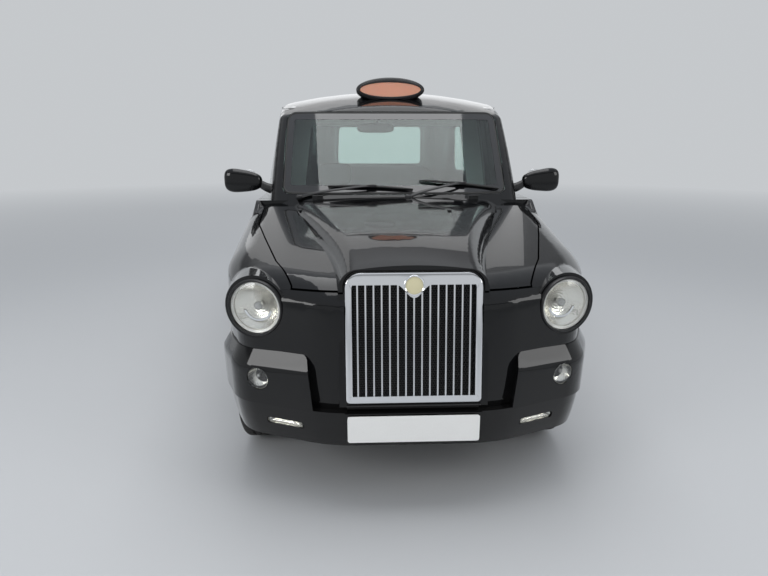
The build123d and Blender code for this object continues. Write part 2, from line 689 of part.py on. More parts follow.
def side_frames():
    """Both side frames: pillars, sill, cant rail and rear quarter, with their hinge leaves."""
    sill = block(SILL_INNER_X, SILL_INNER_X + 90, SCUTTLE_S, REAR_AXLE_S - REAR_ARCH_R + 20, 228,
        DOOR_BOTTOM_Z - DOOR_GAP)
    shell = within(cab_shell, -FAR, FAR, 0, GUTTER_Z) - block(-SPLIT_X, SPLIT_X, 0, 5000, 0, 2300)
    spaces = both_sides(door_space(True, DOOR_GAP)) + both_sides(door_space(False, DOOR_GAP))
    windows = [*both_sides(quarter_cut), screen_cut]
    lamps = both_sides(rear_lamp_hole)
    shell = cut(join(shell, both_sides(sill)), spaces, windows, rear_arches, tail_clear, lamps)
    posts = [
        front_clear & block(FRONT_HINGE[0] - 100, FRONT_HINGE[0], POST_S0, SCUTTLE_S + 1, 230, POST_TOP_Z),
        cabin_clear & block(CENTRE_POST_X, REAR_HINGE[0] - WALL, CENTRE_POST_S0, CENTRE_POST_S1, 230, 1180),
        block(500, 1000, CENTRE_POST_S0, CENTRE_POST_S1, 1101, GUTTER_Z - 1) & pillar_layer,
        block(640, 705, CENTRE_POST_S0, CENTRE_POST_S1, DOOR_TOP_Z + DOOR_GAP + 1, GUTTER_Z),
    ]
    scallops = hinge_scallops(FRONT_HINGE) + hinge_scallops(REAR_HINGE)
    leaves = hinge_half(FRONT_HINGE, False, -1) + hinge_half(REAR_HINGE, False, -1)
    frames = []
    for side in (1, -1):
        frame = largest(within(shell, *sorted((0, side * FAR))))
        for pieces, work in ((posts, join), (scallops, cut), (leaves, join)):
            frame = work(frame, [piece if side > 0 else other_side(piece) for piece in pieces])
        frames.append(frame)
    return frames


def roof():
    """The roof with its front and rear headers."""
    shape = within(cab_shell, -FAR, FAR, GUTTER_Z + SEAM)
    shape = join(shape, [cab_shell & zone for zone in header_zone])
    return cut(shape, screen_cut, backlight_cut)


def scuttle():
    """The panel below the windscreen with the bulkhead behind the engine."""
    strip = within(front_shell, -SPLIT_X + SEAM, SPLIT_X - SEAM, 850, 1300, HOOD_REAR_S, SCUTTLE_S)
    screen_base = within(cab_shell, -SPLIT_X + SEAM, SPLIT_X - SEAM, 1090, 1400, 1100, 1600)
    bulkhead = within(front_inner, -SPLIT_X + SEAM, SPLIT_X - SEAM, 345, 1120, 1256, SCUTTLE_S)
    shape = cut(join(strip - house_skin, bulkhead, screen_base), bonnet_space(HOOD_GAP), screen_cut)
    return join(largest(shape), lid_hinge(HOOD_HINGE, HOOD_KNUCKLES, False, 14, 40))


def rear_panel():
    """The tail between the side frames, round the boot lid and below the rear window."""
    shape = within(cab_shell, -SPLIT_X + SEAM, SPLIT_X - SEAM, 0, 2300, 3600, LENGTH + 50)
    headers = [block(-SPLIT_X, SPLIT_X, 3400, 4400, 1648 - SEAM, 2300),
        block(-SPLIT_X, SPLIT_X, 3000, 4400, GUTTER_Z, 2300)]
    shape = cut(shape, boot_lid_space(DOOR_GAP), backlight_cut, tail_clear, headers)
    return join(largest(shape), lid_hinge(LID_HINGE, LID_KNUCKLES, False, -14, 24))


def boot_lid():
    """The boot lid, which folds over from the deck to the bumper, with its hinge knuckles."""
    shape = cab_shell & boot_lid_space()
    return join(largest(shape), lid_hinge(LID_HINGE, LID_KNUCKLES, True, 14, 24))


def door(front):
    """A +X door with its window cut and its half of the hinges."""
    hinge = FRONT_HINGE if front else REAR_HINGE
    window = window_prism(FRONT_WINDOW if front else REAR_WINDOW)
    shell = within(cab_shell, DOOR_INNER_X, FAR, DOOR_BOTTOM_Z, DOOR_TOP_Z + 5, SCUTTLE_S, 3300)
    shape = cut(shell & door_space(front), window, hinge_scallops(hinge))
    return join(largest(shape), hinge_half(hinge, True, 1))


def window_glass(window, side=True):
    """The pane that fills a window."""
    return (glass_outside & window_prism(window, side, SEAT_GAP)) - glass_inside


# What carries the body


def chassis_frame():
    """Two rails that rise over the rear axle, crossmembers, outriggers and wishbone towers."""
    under = [(s, z - RAIL_DEPTH + (30 if z == 370 else 0)) for s, z in RAIL_TOP]
    rails = both_sides(side_prism(RAIL_TOP + under[::-1], RAIL_X0, RAIL_X1))
    raised = [20 if s > 4000 else 0 for s in CROSSMEMBERS]
    bars = [block(-RAIL_X0, RAIL_X0, s - 30, s + 30, 282 + up, 328 + up)
            for s, up in zip(CROSSMEMBERS, raised)]
    arms = [arm for s in OUTRIGGERS
            for arm in both_sides(block(RAIL_X1, SILL_INNER_X, s - 30, s + 30, 240, 290))]
    towers = both_sides(block(RAIL_X0, RAIL_X1, FRONT_AXLE_S - 95, FRONT_AXLE_S + 95, 330,
        TYRE_R + KINGPIN_REACH + 20))
    saddle = block(-RAIL_X0, RAIL_X0, FRONT_AXLE_S - 60, FRONT_AXLE_S + 60, 236, 286)
    return join(rails[0], rails[1], bars, arms, towers, saddle)


def floor_pan():
    """The cabin floor, which steps up over the rear axle and down to the boot."""
    top = [(SCUTTLE_S + 8, 330)] + RAIL_TOP[1:5] + [(4420, 370)]
    rise = [(s + (5 if s > 3600 else -5), z + FLOOR_THICK) for s, z in top]
    plate = side_prism(top + rise[::-1], -FAR / 1.5, FAR / 1.5)
    notches = both_sides(block(CENTRE_POST_X - SEAT_GAP, FAR, CENTRE_POST_S0 - SEAT_GAP,
        CENTRE_POST_S1 + SEAT_GAP, 200, 400))
    return cut(cabin_clear & plate, rear_arches_wide, notches)


def engine_block():
    """The engine and gearbox as one plain mass on two mounts that reach the rails."""
    mass = block(-ENGINE_HALF, ENGINE_HALF, ENGINE_S0, ENGINE_S1, 335, ENGINE_Z1)
    gearbox = block(-150, 150, ENGINE_S1 - 1, ENGINE_S1 + 130, 340, 640)
    mounts = both_sides(block(ENGINE_HALF - 1, RAIL_X0, 640, 720, 340, 400))
    feet = both_sides(block(RAIL_X0 - 5, RAIL_X1, 645, 690, 330, 350))
    return join(mass.fillet(24, mass.edges()), gearbox, mounts, feet)


def exhaust():
    """The pipe and silencer below the floor, hung from the crossmembers."""
    pipe = rod_y(EXHAUST_R, EXHAUST_X, 1180, 4390, EXHAUST_Z)
    silencer = rod_y(66, EXHAUST_X, 2480, 3000, EXHAUST_Z)
    silencer = silencer.fillet(16, silencer.edges().filter_by(GeomType.CIRCLE))
    hangers = [rod_z(6, EXHAUST_X, s, EXHAUST_Z, 282 + (20 if s > 4000 else 0)) for s in CROSSMEMBERS[1:]]
    return join(pipe, silencer, hangers)


def fuel_tank():
    """The fuel tank under the cabin floor."""
    tank = block(-285, 110, 2420, 3000, 178, 330)
    return tank.fillet(28, tank.edges().filter_by(Axis.Z))


def front_suspension():
    """Double wishbones with coil springs between them, reaching the kingpins."""
    def arm(z):
        reach = KINGPIN_X - RAIL_X1
        plate = plan_prism([(RAIL_X1, FRONT_AXLE_S - 88), (KINGPIN_X - 14, FRONT_AXLE_S - 22),
                            (KINGPIN_X - 14, FRONT_AXLE_S + 22), (RAIL_X1, FRONT_AXLE_S + 88)],
                           z - WISHBONE_THICK / 2, z + WISHBONE_THICK / 2)
        hole = plan_prism([(RAIL_X1 + 26, FRONT_AXLE_S - 52), (RAIL_X1 + reach * 0.55, FRONT_AXLE_S - 26),
                           (RAIL_X1 + reach * 0.55, FRONT_AXLE_S + 26), (RAIL_X1 + 26, FRONT_AXLE_S + 52)],
                          z - 40, z + 40, [14] * 4)
        eye = rod_z(27, KINGPIN_X, FRONT_AXLE_S, z - WISHBONE_THICK / 2, z + WISHBONE_THICK / 2)
        bore = rod_z(KINGPIN_R + SPINDLE_PLAY, KINGPIN_X, FRONT_AXLE_S, z - 50, z + 50)
        return cut(plate + eye, hole if z > TYRE_R else [], bore)
    low, high = TYRE_R - KINGPIN_REACH, TYRE_R + KINGPIN_REACH
    lower_arm, upper_arm = arm(low), arm(high)
    spring = rod_z(44, 470, FRONT_AXLE_S, low, high)
    return both_sides(join(lower_arm, upper_arm, spring))


def knuckle():
    """The right front knuckle: kingpin, upright, spindle and brake backing plate."""
    low, high = TYRE_R - KINGPIN_REACH, TYRE_R + KINGPIN_REACH
    half = WISHBONE_THICK / 2
    pin = rod_z(KINGPIN_R, KINGPIN_X, FRONT_AXLE_S, low - half - 12, high + half + 12)
    upright = rod_z(27, KINGPIN_X, FRONT_AXLE_S, low + half + SEAT_GAP, high - half - SEAT_GAP)
    spindle = rod_x(SPINDLE_R, KINGPIN_X, SPINDLE_END_X, FRONT_AXLE_S, TYRE_R)
    plate = rod_x(BACKPLATE_R, BACKPLATE_X, BACKPLATE_X + 13, FRONT_AXLE_S, TYRE_R)
    return join(upright, pin, spindle, plate)


def rim(s):
    """A +X pressed wheel: barrel, dished disc with slots, and a bored hub."""
    x = TRACK / 2
    half = RIM_WIDTH / 2
    barrel = revolve_about_x([
        (RIM_R, x - half + 12), (RIM_R + 14, x - half + 12), (RIM_R + 14, x - half), (RIM_R - 16, x - half),
        (RIM_R - 30, x - 30), (RIM_R - 30, x + 26), (RIM_R - 12, x + half), (RIM_R + 14, x + half),
        (RIM_R + 14, x + half - 12), (RIM_R, x + half - 12), (RIM_R, x + 30), (RIM_R - 18, x + 20),
        (RIM_R - 18, x - 22), (RIM_R, x - 32),
    ], s, TYRE_R)
    disc = revolve_about_x([
        (SPINDLE_R + SPINDLE_PLAY, x - 8), (SPINDLE_R + SPINDLE_PLAY, x + 54),
        (58, x + 54), (66, x + 36), (96, x + 34), (130, x + 52), (158, x + 44),
        (RIM_R - 28, x + 16), (RIM_R - 28, x + 4),
        (150, x + 32), (130, x + 40), (98, x + 22), (60, x + 22), (52, x - 8),
    ], s, TYRE_R)
    slots = []
    for i in range(RIM_SLOTS):
        a = 2 * math.pi * i / RIM_SLOTS
        slots.append(rod_x(15, x - 20, x + 90, s + 150 * math.sin(a), TYRE_R + 150 * math.cos(a)))
    return join(cut(disc, slots), barrel)


def tyre(s):
    """A +X tyre, hollow inside its carcass, seated between the rim's flanges."""
    half, bead = TYRE_WIDTH / 2, RIM_WIDTH / 2 - 12 - SEAT_GAP
    seat, shoulder, liner = RIM_R + SEAT_GAP, TYRE_R - 14, TYRE_R - 22

    def at(r, dx):
        return (TRACK / 2 + dx, y_at(s), TYRE_R + r)
    edges = [
        Line(at(TYRE_R, 34 - half), at(TYRE_R, half - 34)),
        Line(at(liner, 40 - half), at(liner, half - 40)),
    ]
    for k in (-1, 1):
        step, wall = at(seat + 16, k * bead), at(280, k * half)
        edge, crown = at(shoulder, k * (half - 9)), at(TYRE_R, k * (half - 34))
        edges += [
            Line(at(seat, k * bead), step),
            ThreePointArc(step, at(248, k * (half - 2.5)), wall),
            ThreePointArc(wall, at(308, k * (half - 2)), edge),
            ThreePointArc(edge, at(TYRE_R - 4, k * (half - 18)), crown),
            Line(at(seat, k * bead), at(seat, k * (bead - 18))),
            ThreePointArc(at(seat, k * (bead - 18)), at(270, k * (half - 16)), at(liner, k * (half - 40))),
        ]
    return revolve(Face(Wire(edges)), axis=Axis((0, y_at(s), TYRE_R), (1, 0, 0)))


def rear_axle():
    """The beam axle with its casing, spindles, trailing arms and springs."""
    s = REAR_AXLE_S
    tube = rod_x(42, -TRACK / 2 + 70, TRACK / 2 - 70, s, TYRE_R)
    spindles = rod_x(SPINDLE_R, -SPINDLE_END_X, SPINDLE_END_X, s, TYRE_R)
    outline = [(0, -112), (60, -112), (96, -70), (116, -24), (116, 24), (96, 70), (60, 112), (0, 112)]
    casing = revolve_about_x(outline, s, TYRE_R)
    plates = both_sides(rod_x(BACKPLATE_R, BACKPLATE_X, BACKPLATE_X + 13, s, TYRE_R))
    arms = both_sides(block(RAIL_X1, RAIL_X1 + 40, OUTRIGGERS[-1] + 30 + SEAT_GAP, s, 256, 316))
    springs = both_sides(rod_z(46, (RAIL_X0 + RAIL_X1) / 2, s, TYRE_R, 510 - RAIL_DEPTH))
    return join(tube, spindles, casing, plates, arms, springs)


rear_arches_wide = both_sides(rod_x(
    REAR_ARCH_R + HOUSING_THICK + SEAT_GAP, REAR_HOUSING_X - SEAT_GAP, 1000, REAR_AXLE_S, TYRE_R))


def wheel_housings():
    """The inner wheel arches: a curved shell and an inboard wall over each wheel."""
    housings = []
    for s, radius, x0, wall_z, roof_z in (
            (FRONT_AXLE_S, ARCH_R, RAIL_X1 + 6, 486, 470),
            (REAR_AXLE_S, REAR_ARCH_R, REAR_HOUSING_X, 440, 420)):
        outer = rod_x(radius + HOUSING_THICK, x0, 900, s, TYRE_R)
        shell = outer - rod_x(radius, x0 + HOUSING_THICK, 950, s, TYRE_R)
        clear = front_clear if s < 2000 else rear_clear
        low = block(x0 + HOUSING_THICK, 1000, s - 500, s + 500, 0, roof_z)
        inner = block(x0 - 5, x0 + HOUSING_THICK, s - 500, s + 500, 0, wall_z)
        housings += both_sides(cut(shell & clear, low, inner))
    return housings


# Cabin


def rounded_block(x0, x1, s0, s1, z0, z1, r):
    """A box with all its edges rounded."""
    box = block(x0, x1, s0, s1, z0, z1)
    return box.fillet(r, box.edges())


def driver_seat():
    """The driver's seat: base, cushion, leaning backrest and headrest."""
    x0, x1 = SEAT_X - 235, SEAT_X + 235
    base = block(x0 + 40, x1 - 40, SEAT_S + 30, SEAT_S + 360, FLOOR_TOP, 520)
    cushion = rounded_block(x0, x1, SEAT_S, SEAT_S + 440, 500, 640, 40)
    back = side_prism([(SEAT_S + 260, 600), (SEAT_S + 320, 1170), (SEAT_S + 410, 1170),
        (SEAT_S + 385, 600)], x0 + 10, x1 - 10)
    back = back.fillet(32, back.edges())
    head = rounded_block(SEAT_X - 130, SEAT_X + 130, SEAT_S + 320, SEAT_S + 400, 1150, 1340, 30)
    return join(base, cushion, back, head)


def partition():
    """The lower wall and window frame behind the driver."""
    wall = pane_zone(PARTITION_S, 24) & block(-FAR, FAR, 2300, 2600, FLOOR_TOP, GUTTER_Z - 40)
    window = front_prism([(-640, 1010), (-560, 1600), (560, 1600), (640, 1010)], 2300, 2600, [30] * 4)
    return wall - window


def pane_zone(s, depth):
    """A slab across the cabin, clear of the walls and doors."""
    return cabin_clear_all & block(-FAR, FAR, s, s + depth, FLOOR_TOP, 1900)


def partition_glass():
    """The pane between driver and passengers."""
    outline = ([(-640, 1010), (-560, 1600), (560, 1600), (640, 1010)], [30] * 4)
    return front_prism(inset_loop(outline[0], SEAT_GAP), PARTITION_S + 8, PARTITION_S + 14, outline[1])


def passenger_seats():
    """The rear bench, and two folded seats on the partition."""
    cushion = rounded_block(-540, 540, 3170, 3640, 620, 760, 45)
    box = block(-520, 520, 3420, 3620, BENCH_FOOT_Z, 640)
    legs = both_sides(block(480, 520, 3190, 3230, FLOOR_TOP, 640))
    back = side_prism([(3560, 700), (3640, 1270), (3740, 1270), (3710, 700)], -540, 540)
    back = back.fillet(36, back.edges())
    foot = block(-520, 520, 3560, 3700, BENCH_FOOT_Z, 720)
    folded = both_sides(rounded_block(150, 560, PARTITION_S + 24 + SEAT_GAP, PARTITION_S + 104, 480,
        940, 28))
    return [join(cushion, box, legs, back, foot), *folded]


def along_column(shape, back):
    """A shape modelled on +Z, set on the steering column's line at a distance back from the wheel."""
    x, s, z = WHEEL_CENTRE
    a = math.radians(COLUMN_TILT)
    place = Pos(x, y_at(s) - back * math.cos(a), z - back * math.sin(a))
    return place * Rot(-(90 - COLUMN_TILT), 0, 0) * shape


def steering_wheel():
    """Rim, four spokes and hub, on the column's line."""
    ring = Torus(STEERING_R, 14)
    hub = Pos(0, 0, -12) * Cylinder(52, 40)
    spoke = Pos(STEERING_R / 2, 0, -6) * Box(STEERING_R, 30, 14)
    spokes = [Rot(0, 0, a) * spoke for a in (25, 155, 205, 335)]
    return along_column(cut(join(ring, hub, spokes), Pos(0, 0, -40) * Cylinder(12 + SPINDLE_PLAY, 60)), 0)


def dashboard():
    """The dashboard across the cabin, with the instrument hood and the steering column."""
    profile = [(SCUTTLE_S + SEAM, 740), (SCUTTLE_S + SEAM, 1085), (1440, 1108), (1560, 1060),
        (1585, 900), (1500, 720)]
    shelf = side_prism(profile, -DASH_HALF, DASH_HALF, [2, 2, 40, 50, 40, 20]) & cabin_clear
    hood = side_prism([(1420, 1040), (1430, 1150), (1590, 1125), (1600, 1040)], SEAT_X - 190,
        SEAT_X + 190, [5, 30, 20, 5])
    column = along_column(Pos(0, 0, -160) * Cylinder(26, 240), 0)
    pin = along_column(Pos(0, 0, -60) * Cylinder(12, 100), 0)
    return join(shelf, hood, column, pin)


# Lamps, grille, plate, sign and mirrors


def headlamps():
    """Both headlamp bodies: a black ring and a bowl."""
    r = HEADLAMP_R
    bowl = headlamp_form([(0, 96), (0, 84), (60, 76), (r - 20, 20), (r - 20, 0), (r - 14, -6),
        (r - 3, -6), (r, 0), (r, 96)])
    return both_sides(bowl)


def headlamp_lenses():
    """Both headlamp glasses, domed."""
    r = HEADLAMP_R - 20 - SEAT_GAP
    face = [(0, -14), (r * 0.5, -10), (r * 0.85, -3), (r, 3), (r, 10), (r * 0.85, 4), (r * 0.5, -4), (0, -8)]
    return both_sides(headlamp_form(face))


def grille():
    """Chrome surround, upright bars, round badge stand and the dark mesh plate behind them."""
    surround = (grille_prism() - grille_prism(-24)) & leaning_slab(-9, 44)
    plate = grille_prism(-22) & leaning_slab(34, 42)
    bars = []
    for i in range(GRILLE_BARS):
        x = (i - (GRILLE_BARS - 1) / 2) * GRILLE_PITCH
        bar = block(x - 5, x + 5, -60, 160, GRILLE_FOOT_Z + 12, GRILLE_TOP_Z - 12)
        bars.append(bar & leaning_slab(-2, 36))
    badge = rod_y(38, 0, -20, 120, GRILLE_TOP_Z - 34) & leaning_slab(-15, 36)
    return join(surround, plate, bars, badge)


def bumper_lamps():
    """The round lamps in the pods and the slot lamps below them."""
    x, z, r = ROUND_LAMP
    round_lamp = rod_y(r, x, -50, 400, z) & (lower_body(-POD_PROUD + 6) - lower_body(-2))
    slot = (slot_prism() & (lower_body(-BUMPER_PROUD + 5) - lower_body(-BUMPER_PROUD + 30)))
    return [*both_sides(round_lamp), *both_sides(slot)]


def rear_lamps():
    """The upright lamps in the rear quarters."""
    form = front_prism(inset_loop(REAR_LAMP, SEAT_GAP), REAR_LAMP_S + SEAT_GAP, 4700, [14] * 4)
    return both_sides(form & (lower_body(-4) - lower_body(24)))


def roof_sign():
    """The sign's black body on the roof, with its front recess."""
    body = Pos(0, y_at(SIGN_S), SIGN_Z) * Rot(90, 0, 0) * extrude(Ellipse(SIGN_HALF, SIGN_HALF_Z),
        amount=SIGN_DEPTH / 2, both=True)
    body = body.fillet(14, body.edges())
    recess = Pos(0, y_at(SIGN_S - SIGN_DEPTH / 2 - 1), SIGN_Z) * Rot(90, 0, 0) * extrude(
        Ellipse(SIGN_HALF - 18, SIGN_HALF_Z - 16), amount=12, both=True)
    return cut(body, recess, roof_skin)


def sign_lens():
    """The sign's pale front lens."""
    lens = Pos(0, y_at(SIGN_S - SIGN_DEPTH / 2), SIGN_Z) * Rot(90, 0, 0) * extrude(
        Ellipse(SIGN_HALF - 18 - SEAT_GAP, SIGN_HALF_Z - 16 - SEAT_GAP), amount=10, both=True)
    return cut(lens, roof_skin)


roof_skin = roof_dome(-SEAT_GAP) & block(-400, 400, 1700, 2300, 1500, 1900)


mirror_seat = glasshouse(-SEAT_GAP) + lower_body(-SEAT_GAP)


def mirror_unit():
    """The +X mirror housing and its arm."""
    x, s, z = MIRROR_CENTRE
    housing = block(x - 92, x + 90, s - 42, s + 30, z - 82, z + 82)
    housing = housing.fillet(34, housing.edges().filter_by(Axis.Y))
    housing = housing.fillet(24, housing.edges().group_by(Axis.Y)[0])
    arm = side_prism([(s - 24, z - 78), (s - 24, z - 34), (s + 20, z - 34), (s + 20, z - 78)], 700,
        x - 40, [12] * 4)
    return join(housing, arm) - mirror_seat


save("bonnet", bonnet())
save("front_wings", *wings())
save("front_panel", front_panel())
save("front_bumper", front_bumper())
save("rear_bumper", rear_bumper())
save("side_frames", *side_frames())
save("roof", roof())
save("scuttle", scuttle())
save("rear_panel", rear_panel())
save("boot_lid", boot_lid())
for place, front, window in (("front", True, FRONT_WINDOW), ("rear", False, REAR_WINDOW)):
    leaf = door(front)
    save(f"{place}_door_right", other_side(leaf))
    save(f"{place}_door_left", leaf)
    pane = window_glass(window)
    save(f"{place}_door_glass_right", other_side(pane))
    save(f"{place}_door_glass_left", pane)
save("windscreen", window_glass(SCREEN, False))
save("rear_windows", window_glass(BACKLIGHT, False), *both_sides(window_glass(QUARTER_WINDOW)))
save("chassis_frame", chassis_frame())
save("floor_pan", floor_pan())
save("engine_block", engine_block())
save("exhaust", exhaust())
save("fuel_tank", fuel_tank())
save("front_suspension", *front_suspension())
save("rear_axle", rear_axle())
save("wheel_housings", *wheel_housings())
knuckle_left = knuckle()
save("knuckle_left", knuckle_left)
save("knuckle_right", other_side(knuckle_left))
for place, s in (("front", FRONT_AXLE_S), ("rear", REAR_AXLE_S)):
    rim_left, tyre_left = rim(s), tyre(s)
    save(f"{place}_rim_left", rim_left)
    save(f"{place}_rim_right", other_side(rim_left))
    save(f"{place}_tyre_left", tyre_left)
    save(f"{place}_tyre_right", other_side(tyre_left))
save("driver_seat", driver_seat())
save("partition", partition())
save("partition_glass", partition_glass())
save("passenger_seats", *passenger_seats())
save("steering_wheel", steering_wheel())
save("dashboard", dashboard())
save("headlamps", *headlamps())
save("headlamp_lenses", *headlamp_lenses())
save("grille", grille())
save("bumper_lamps", *bumper_lamps())
save("rear_lamps", *rear_lamps())
save("front_plate", block(-PLATE_HALF, PLATE_HALF, 0, PLATE_THICK, PLATE_Z0, PLATE_Z1))
save("roof_sign", roof_sign())
save("sign_lens", sign_lens())
mirror_left = mirror_unit()
save("mirror_left", mirror_left)
save("mirror_right", other_side(mirror_left))
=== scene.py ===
# %% [markdown]
# # A black taxi cab
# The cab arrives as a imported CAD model, and this notebook dresses it. Every panel, wheel and seat is
# already in its place, in metres, with X across the cab, the nose along -Y and Z up from the road.
# What is left is what the eye notices: black gloss paint, chrome, glass, lamps, rubber and cloth,
# and the small pieces that are too fine for the CAD.

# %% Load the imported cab
import bpy, bmesh, json, math
import numpy as np
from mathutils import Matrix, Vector


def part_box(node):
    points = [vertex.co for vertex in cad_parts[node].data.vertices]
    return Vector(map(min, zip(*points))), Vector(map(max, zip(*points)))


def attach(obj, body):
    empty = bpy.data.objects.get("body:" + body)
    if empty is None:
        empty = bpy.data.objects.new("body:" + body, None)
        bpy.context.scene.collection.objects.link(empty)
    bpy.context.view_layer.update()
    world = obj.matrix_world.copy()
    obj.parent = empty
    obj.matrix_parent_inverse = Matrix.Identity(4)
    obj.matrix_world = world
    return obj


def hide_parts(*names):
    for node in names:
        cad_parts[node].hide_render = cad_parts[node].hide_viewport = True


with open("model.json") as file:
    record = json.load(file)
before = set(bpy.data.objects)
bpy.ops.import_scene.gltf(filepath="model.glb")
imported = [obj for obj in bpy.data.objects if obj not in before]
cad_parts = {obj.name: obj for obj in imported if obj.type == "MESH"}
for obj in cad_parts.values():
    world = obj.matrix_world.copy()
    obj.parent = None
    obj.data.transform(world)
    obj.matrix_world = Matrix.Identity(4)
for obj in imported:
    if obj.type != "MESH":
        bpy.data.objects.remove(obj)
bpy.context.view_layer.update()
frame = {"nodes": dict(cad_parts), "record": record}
nodes = frame["nodes"]

scene = bpy.context.scene
LENGTH = 4.575
SIDES = ((1, "left"), (-1, "right"))
AHEAD, ASTERN, ABEAM = -2.6, 2.6, 1.2  # planes clear of the nose, tail and sides


def y_at(s):
    """Y of a place s metres behind the front bumper's face, as the CAD measures it."""
    return s - LENGTH / 2


# %% [markdown]
# ## The camera
# The photograph is taken from standing height, two metres in front of the plate, with a short lens that
# looks down by about 14 degrees. The plate, the grille and the headlamps were measured in the picture,
# and they give the lens and its place.

# %% Camera


def added(name, data):
    """A new object in the scene."""
    thing = bpy.data.objects.new(name, data)
    scene.collection.objects.link(thing)
    return thing


camera = added("camera", bpy.data.cameras.new("camera"))
camera.data.sensor_width, camera.data.lens = 36.0, 27.05
camera.location = (-0.2, -4.34, 1.49)
camera.rotation_euler = (math.radians(90 - 14.3), 0.0, math.radians(-2.3))
scene.camera = camera

# %% [markdown]
# ## Shader helpers
# A shader is built from nodes. One helper adds a node and one feeds its inputs with numbers, colours or other
# nodes' sockets, so each material below reads as a short formula.

# %% Shader helpers


def shade(tree, kind, inputs=(), **settings):
    """A shader node of a kind, or one that holds a group, with its settings and inputs."""
    node = tree.nodes.new("ShaderNode" + (kind if isinstance(kind, str) else "Group"))
    if not isinstance(kind, str):
        node.node_tree = kind
    for key, value in settings.items():
        setattr(node, key, value)
    return feed(tree, node, inputs)


def feed(tree, node, inputs):
    """Gives each input a number, a colour or another node's socket."""
    for key, value in dict(inputs).items():
        if isinstance(value, bpy.types.NodeSocket):
            tree.links.new(value, node.inputs[key])
        else:
            node.inputs[key].default_value = value
    return node


def math_node(tree, operation, *values, clamp=False):
    """A Math node fed by numbers or by other nodes' sockets."""
    return shade(tree, "Math", enumerate(values), operation=operation, use_clamp=clamp).outputs[0]


def place_of(tree):
    """The Object coordinates in a shader."""
    return shade(tree, "TexCoord").outputs["Object"]


def noise(tree, scale, detail=3.0):
    """Noise on Object coordinates, at a number or a socket of scale."""
    inputs = {"Vector": place_of(tree), "Scale": scale, "Detail": detail}
    return shade(tree, "TexNoise", inputs).outputs["Fac"]


def principled(name):
    """A new material, its node tree and its Principled BSDF."""
    material = bpy.data.materials.new(name)
    material.use_nodes = True
    return material, material.node_tree, material.node_tree.nodes["Principled BSDF"]


def blended(tree, share, first, second):
    """Sends a mix of two shaders to a material's output."""
    mix = shade(tree, "MixShader", {"Fac": share, 1: first, 2: second})
    feed(tree, tree.nodes["Material Output"], {"Surface": mix.outputs[0]})


# %% [markdown]
# ## The studio
# Black gloss paint is drawn by what it mirrors, so the room is a pale floor, a pale backdrop and a few
# wide soft lamps. The sky is the backdrop's grey low down, then a darker ring like trees and houses,
# which gives the bonnet its dark edges, and pale again overhead.

# %% Floor, sky and lamps
scene.view_settings.view_transform = "Standard"


def soft_lamp(name, place, aim, width, depth, power):
    """A flat lamp of width by depth metres at place, turned to face aim."""
    lamp = added(name, bpy.data.lights.new(name, "AREA"))
    lamp.data.shape, lamp.data.size, lamp.data.size_y, lamp.data.energy = "RECTANGLE", width, depth, power
    lamp.location = place
    lamp.rotation_euler = (Vector(aim) - Vector(place)).to_track_quat("-Z", "Y").to_euler()


soft_lamp("lamp_over", (0.0, -1.2, 5.2), (0.0, -1.0, 0.0), 3.4, 4.6, 120)
soft_lamp("lamp_behind", (-0.6, 7.5, 4.6), (0.0, 0.0, 0.9), 8.0, 3.4, 45)
soft_lamp("lamp_left", (-5.0, -5.5, 3.2), (-0.3, -1.5, 0.7), 3.0, 2.2, 110)
soft_lamp("lamp_right", (5.0, -4.5, 3.0), (0.3, -1.0, 0.7), 2.4, 2.4, 60)

BACKDROP, OVERHEAD = (0.56, 0.58, 0.6, 1), (0.6, 0.64, 0.7, 1)
scene.world = bpy.data.worlds.new("studio_sky")
scene.world.use_nodes = True
sky = scene.world.node_tree
height = shade(sky, "SeparateXYZ", {0: shade(sky, "TexCoord").outputs["Generated"]}).outputs["Z"]
ramp = shade(sky, "ValToRGB", {"Fac": height})
feed(sky, sky.nodes["Background"], {"Color": ramp.outputs["Color"]})
stops = ramp.color_ramp.elements
stops[0].position, stops[0].color, stops[1].position, stops[1].color = 0.0, BACKDROP, 1.0, OVERHEAD
stops.new(0.33).color = BACKDROP
for place, level in ((0.4, 0.2), (0.48, 0.24), (0.58, 0.62)):
    stops.new(place).color = (level * 0.97, level, level * 1.04, 1)

FLOOR_HALF = 40
floor = added("floor", bpy.data.meshes.new("floor"))
floor.data.from_pydata([(x * FLOOR_HALF, y * FLOOR_HALF, 0) for x, y in ((-1, -1), (1, -1), (1, 1), (-1, 1))],
    [], [(0, 1, 2, 3)])
floor_paint, tree, shader = principled("studio_floor")
feed(tree, shader, {"Base Color": (0.54, 0.55, 0.56, 1), "Roughness": 0.75})
far = shade(tree, "VectorMath", {0: place_of(tree)}, operation="LENGTH")
fade = math_node(tree, "DIVIDE", math_node(tree, "SUBTRACT", far.outputs["Value"], 4.0), 14.0, clamp=True)
glow = shade(tree, "Emission", {"Color": BACKDROP})
blended(tree, fade, shader.outputs[0], glow.outputs[0])
floor.data.materials.append(floor_paint)

# %% [markdown]
# ## Surfaces from numbers
# Each new piece is a grid of points worked out at once with numpy. One helper turns a grid into quads,
# one carries a profile along a path and one spins it round a line. Most trim on a car can be made with
# those.

# %% Grid, sweep and spin helpers


def mm(*rows):
    """A table that is written in millimetres, in metres."""
    return np.array(rows) / 1000


def grid(*parts):
    """Coordinates, spread to one shape and put together on a last axis."""
    return np.stack(np.broadcast_arrays(*parts), -1)


def around(count):
    """So many angles, evenly round a circle."""
    return np.linspace(0, 2 * np.pi, count, endpoint=False)


def power_of(x, power):
    """A power of a number's size, with the number's sign."""
    return np.sign(x) * np.abs(x) ** power


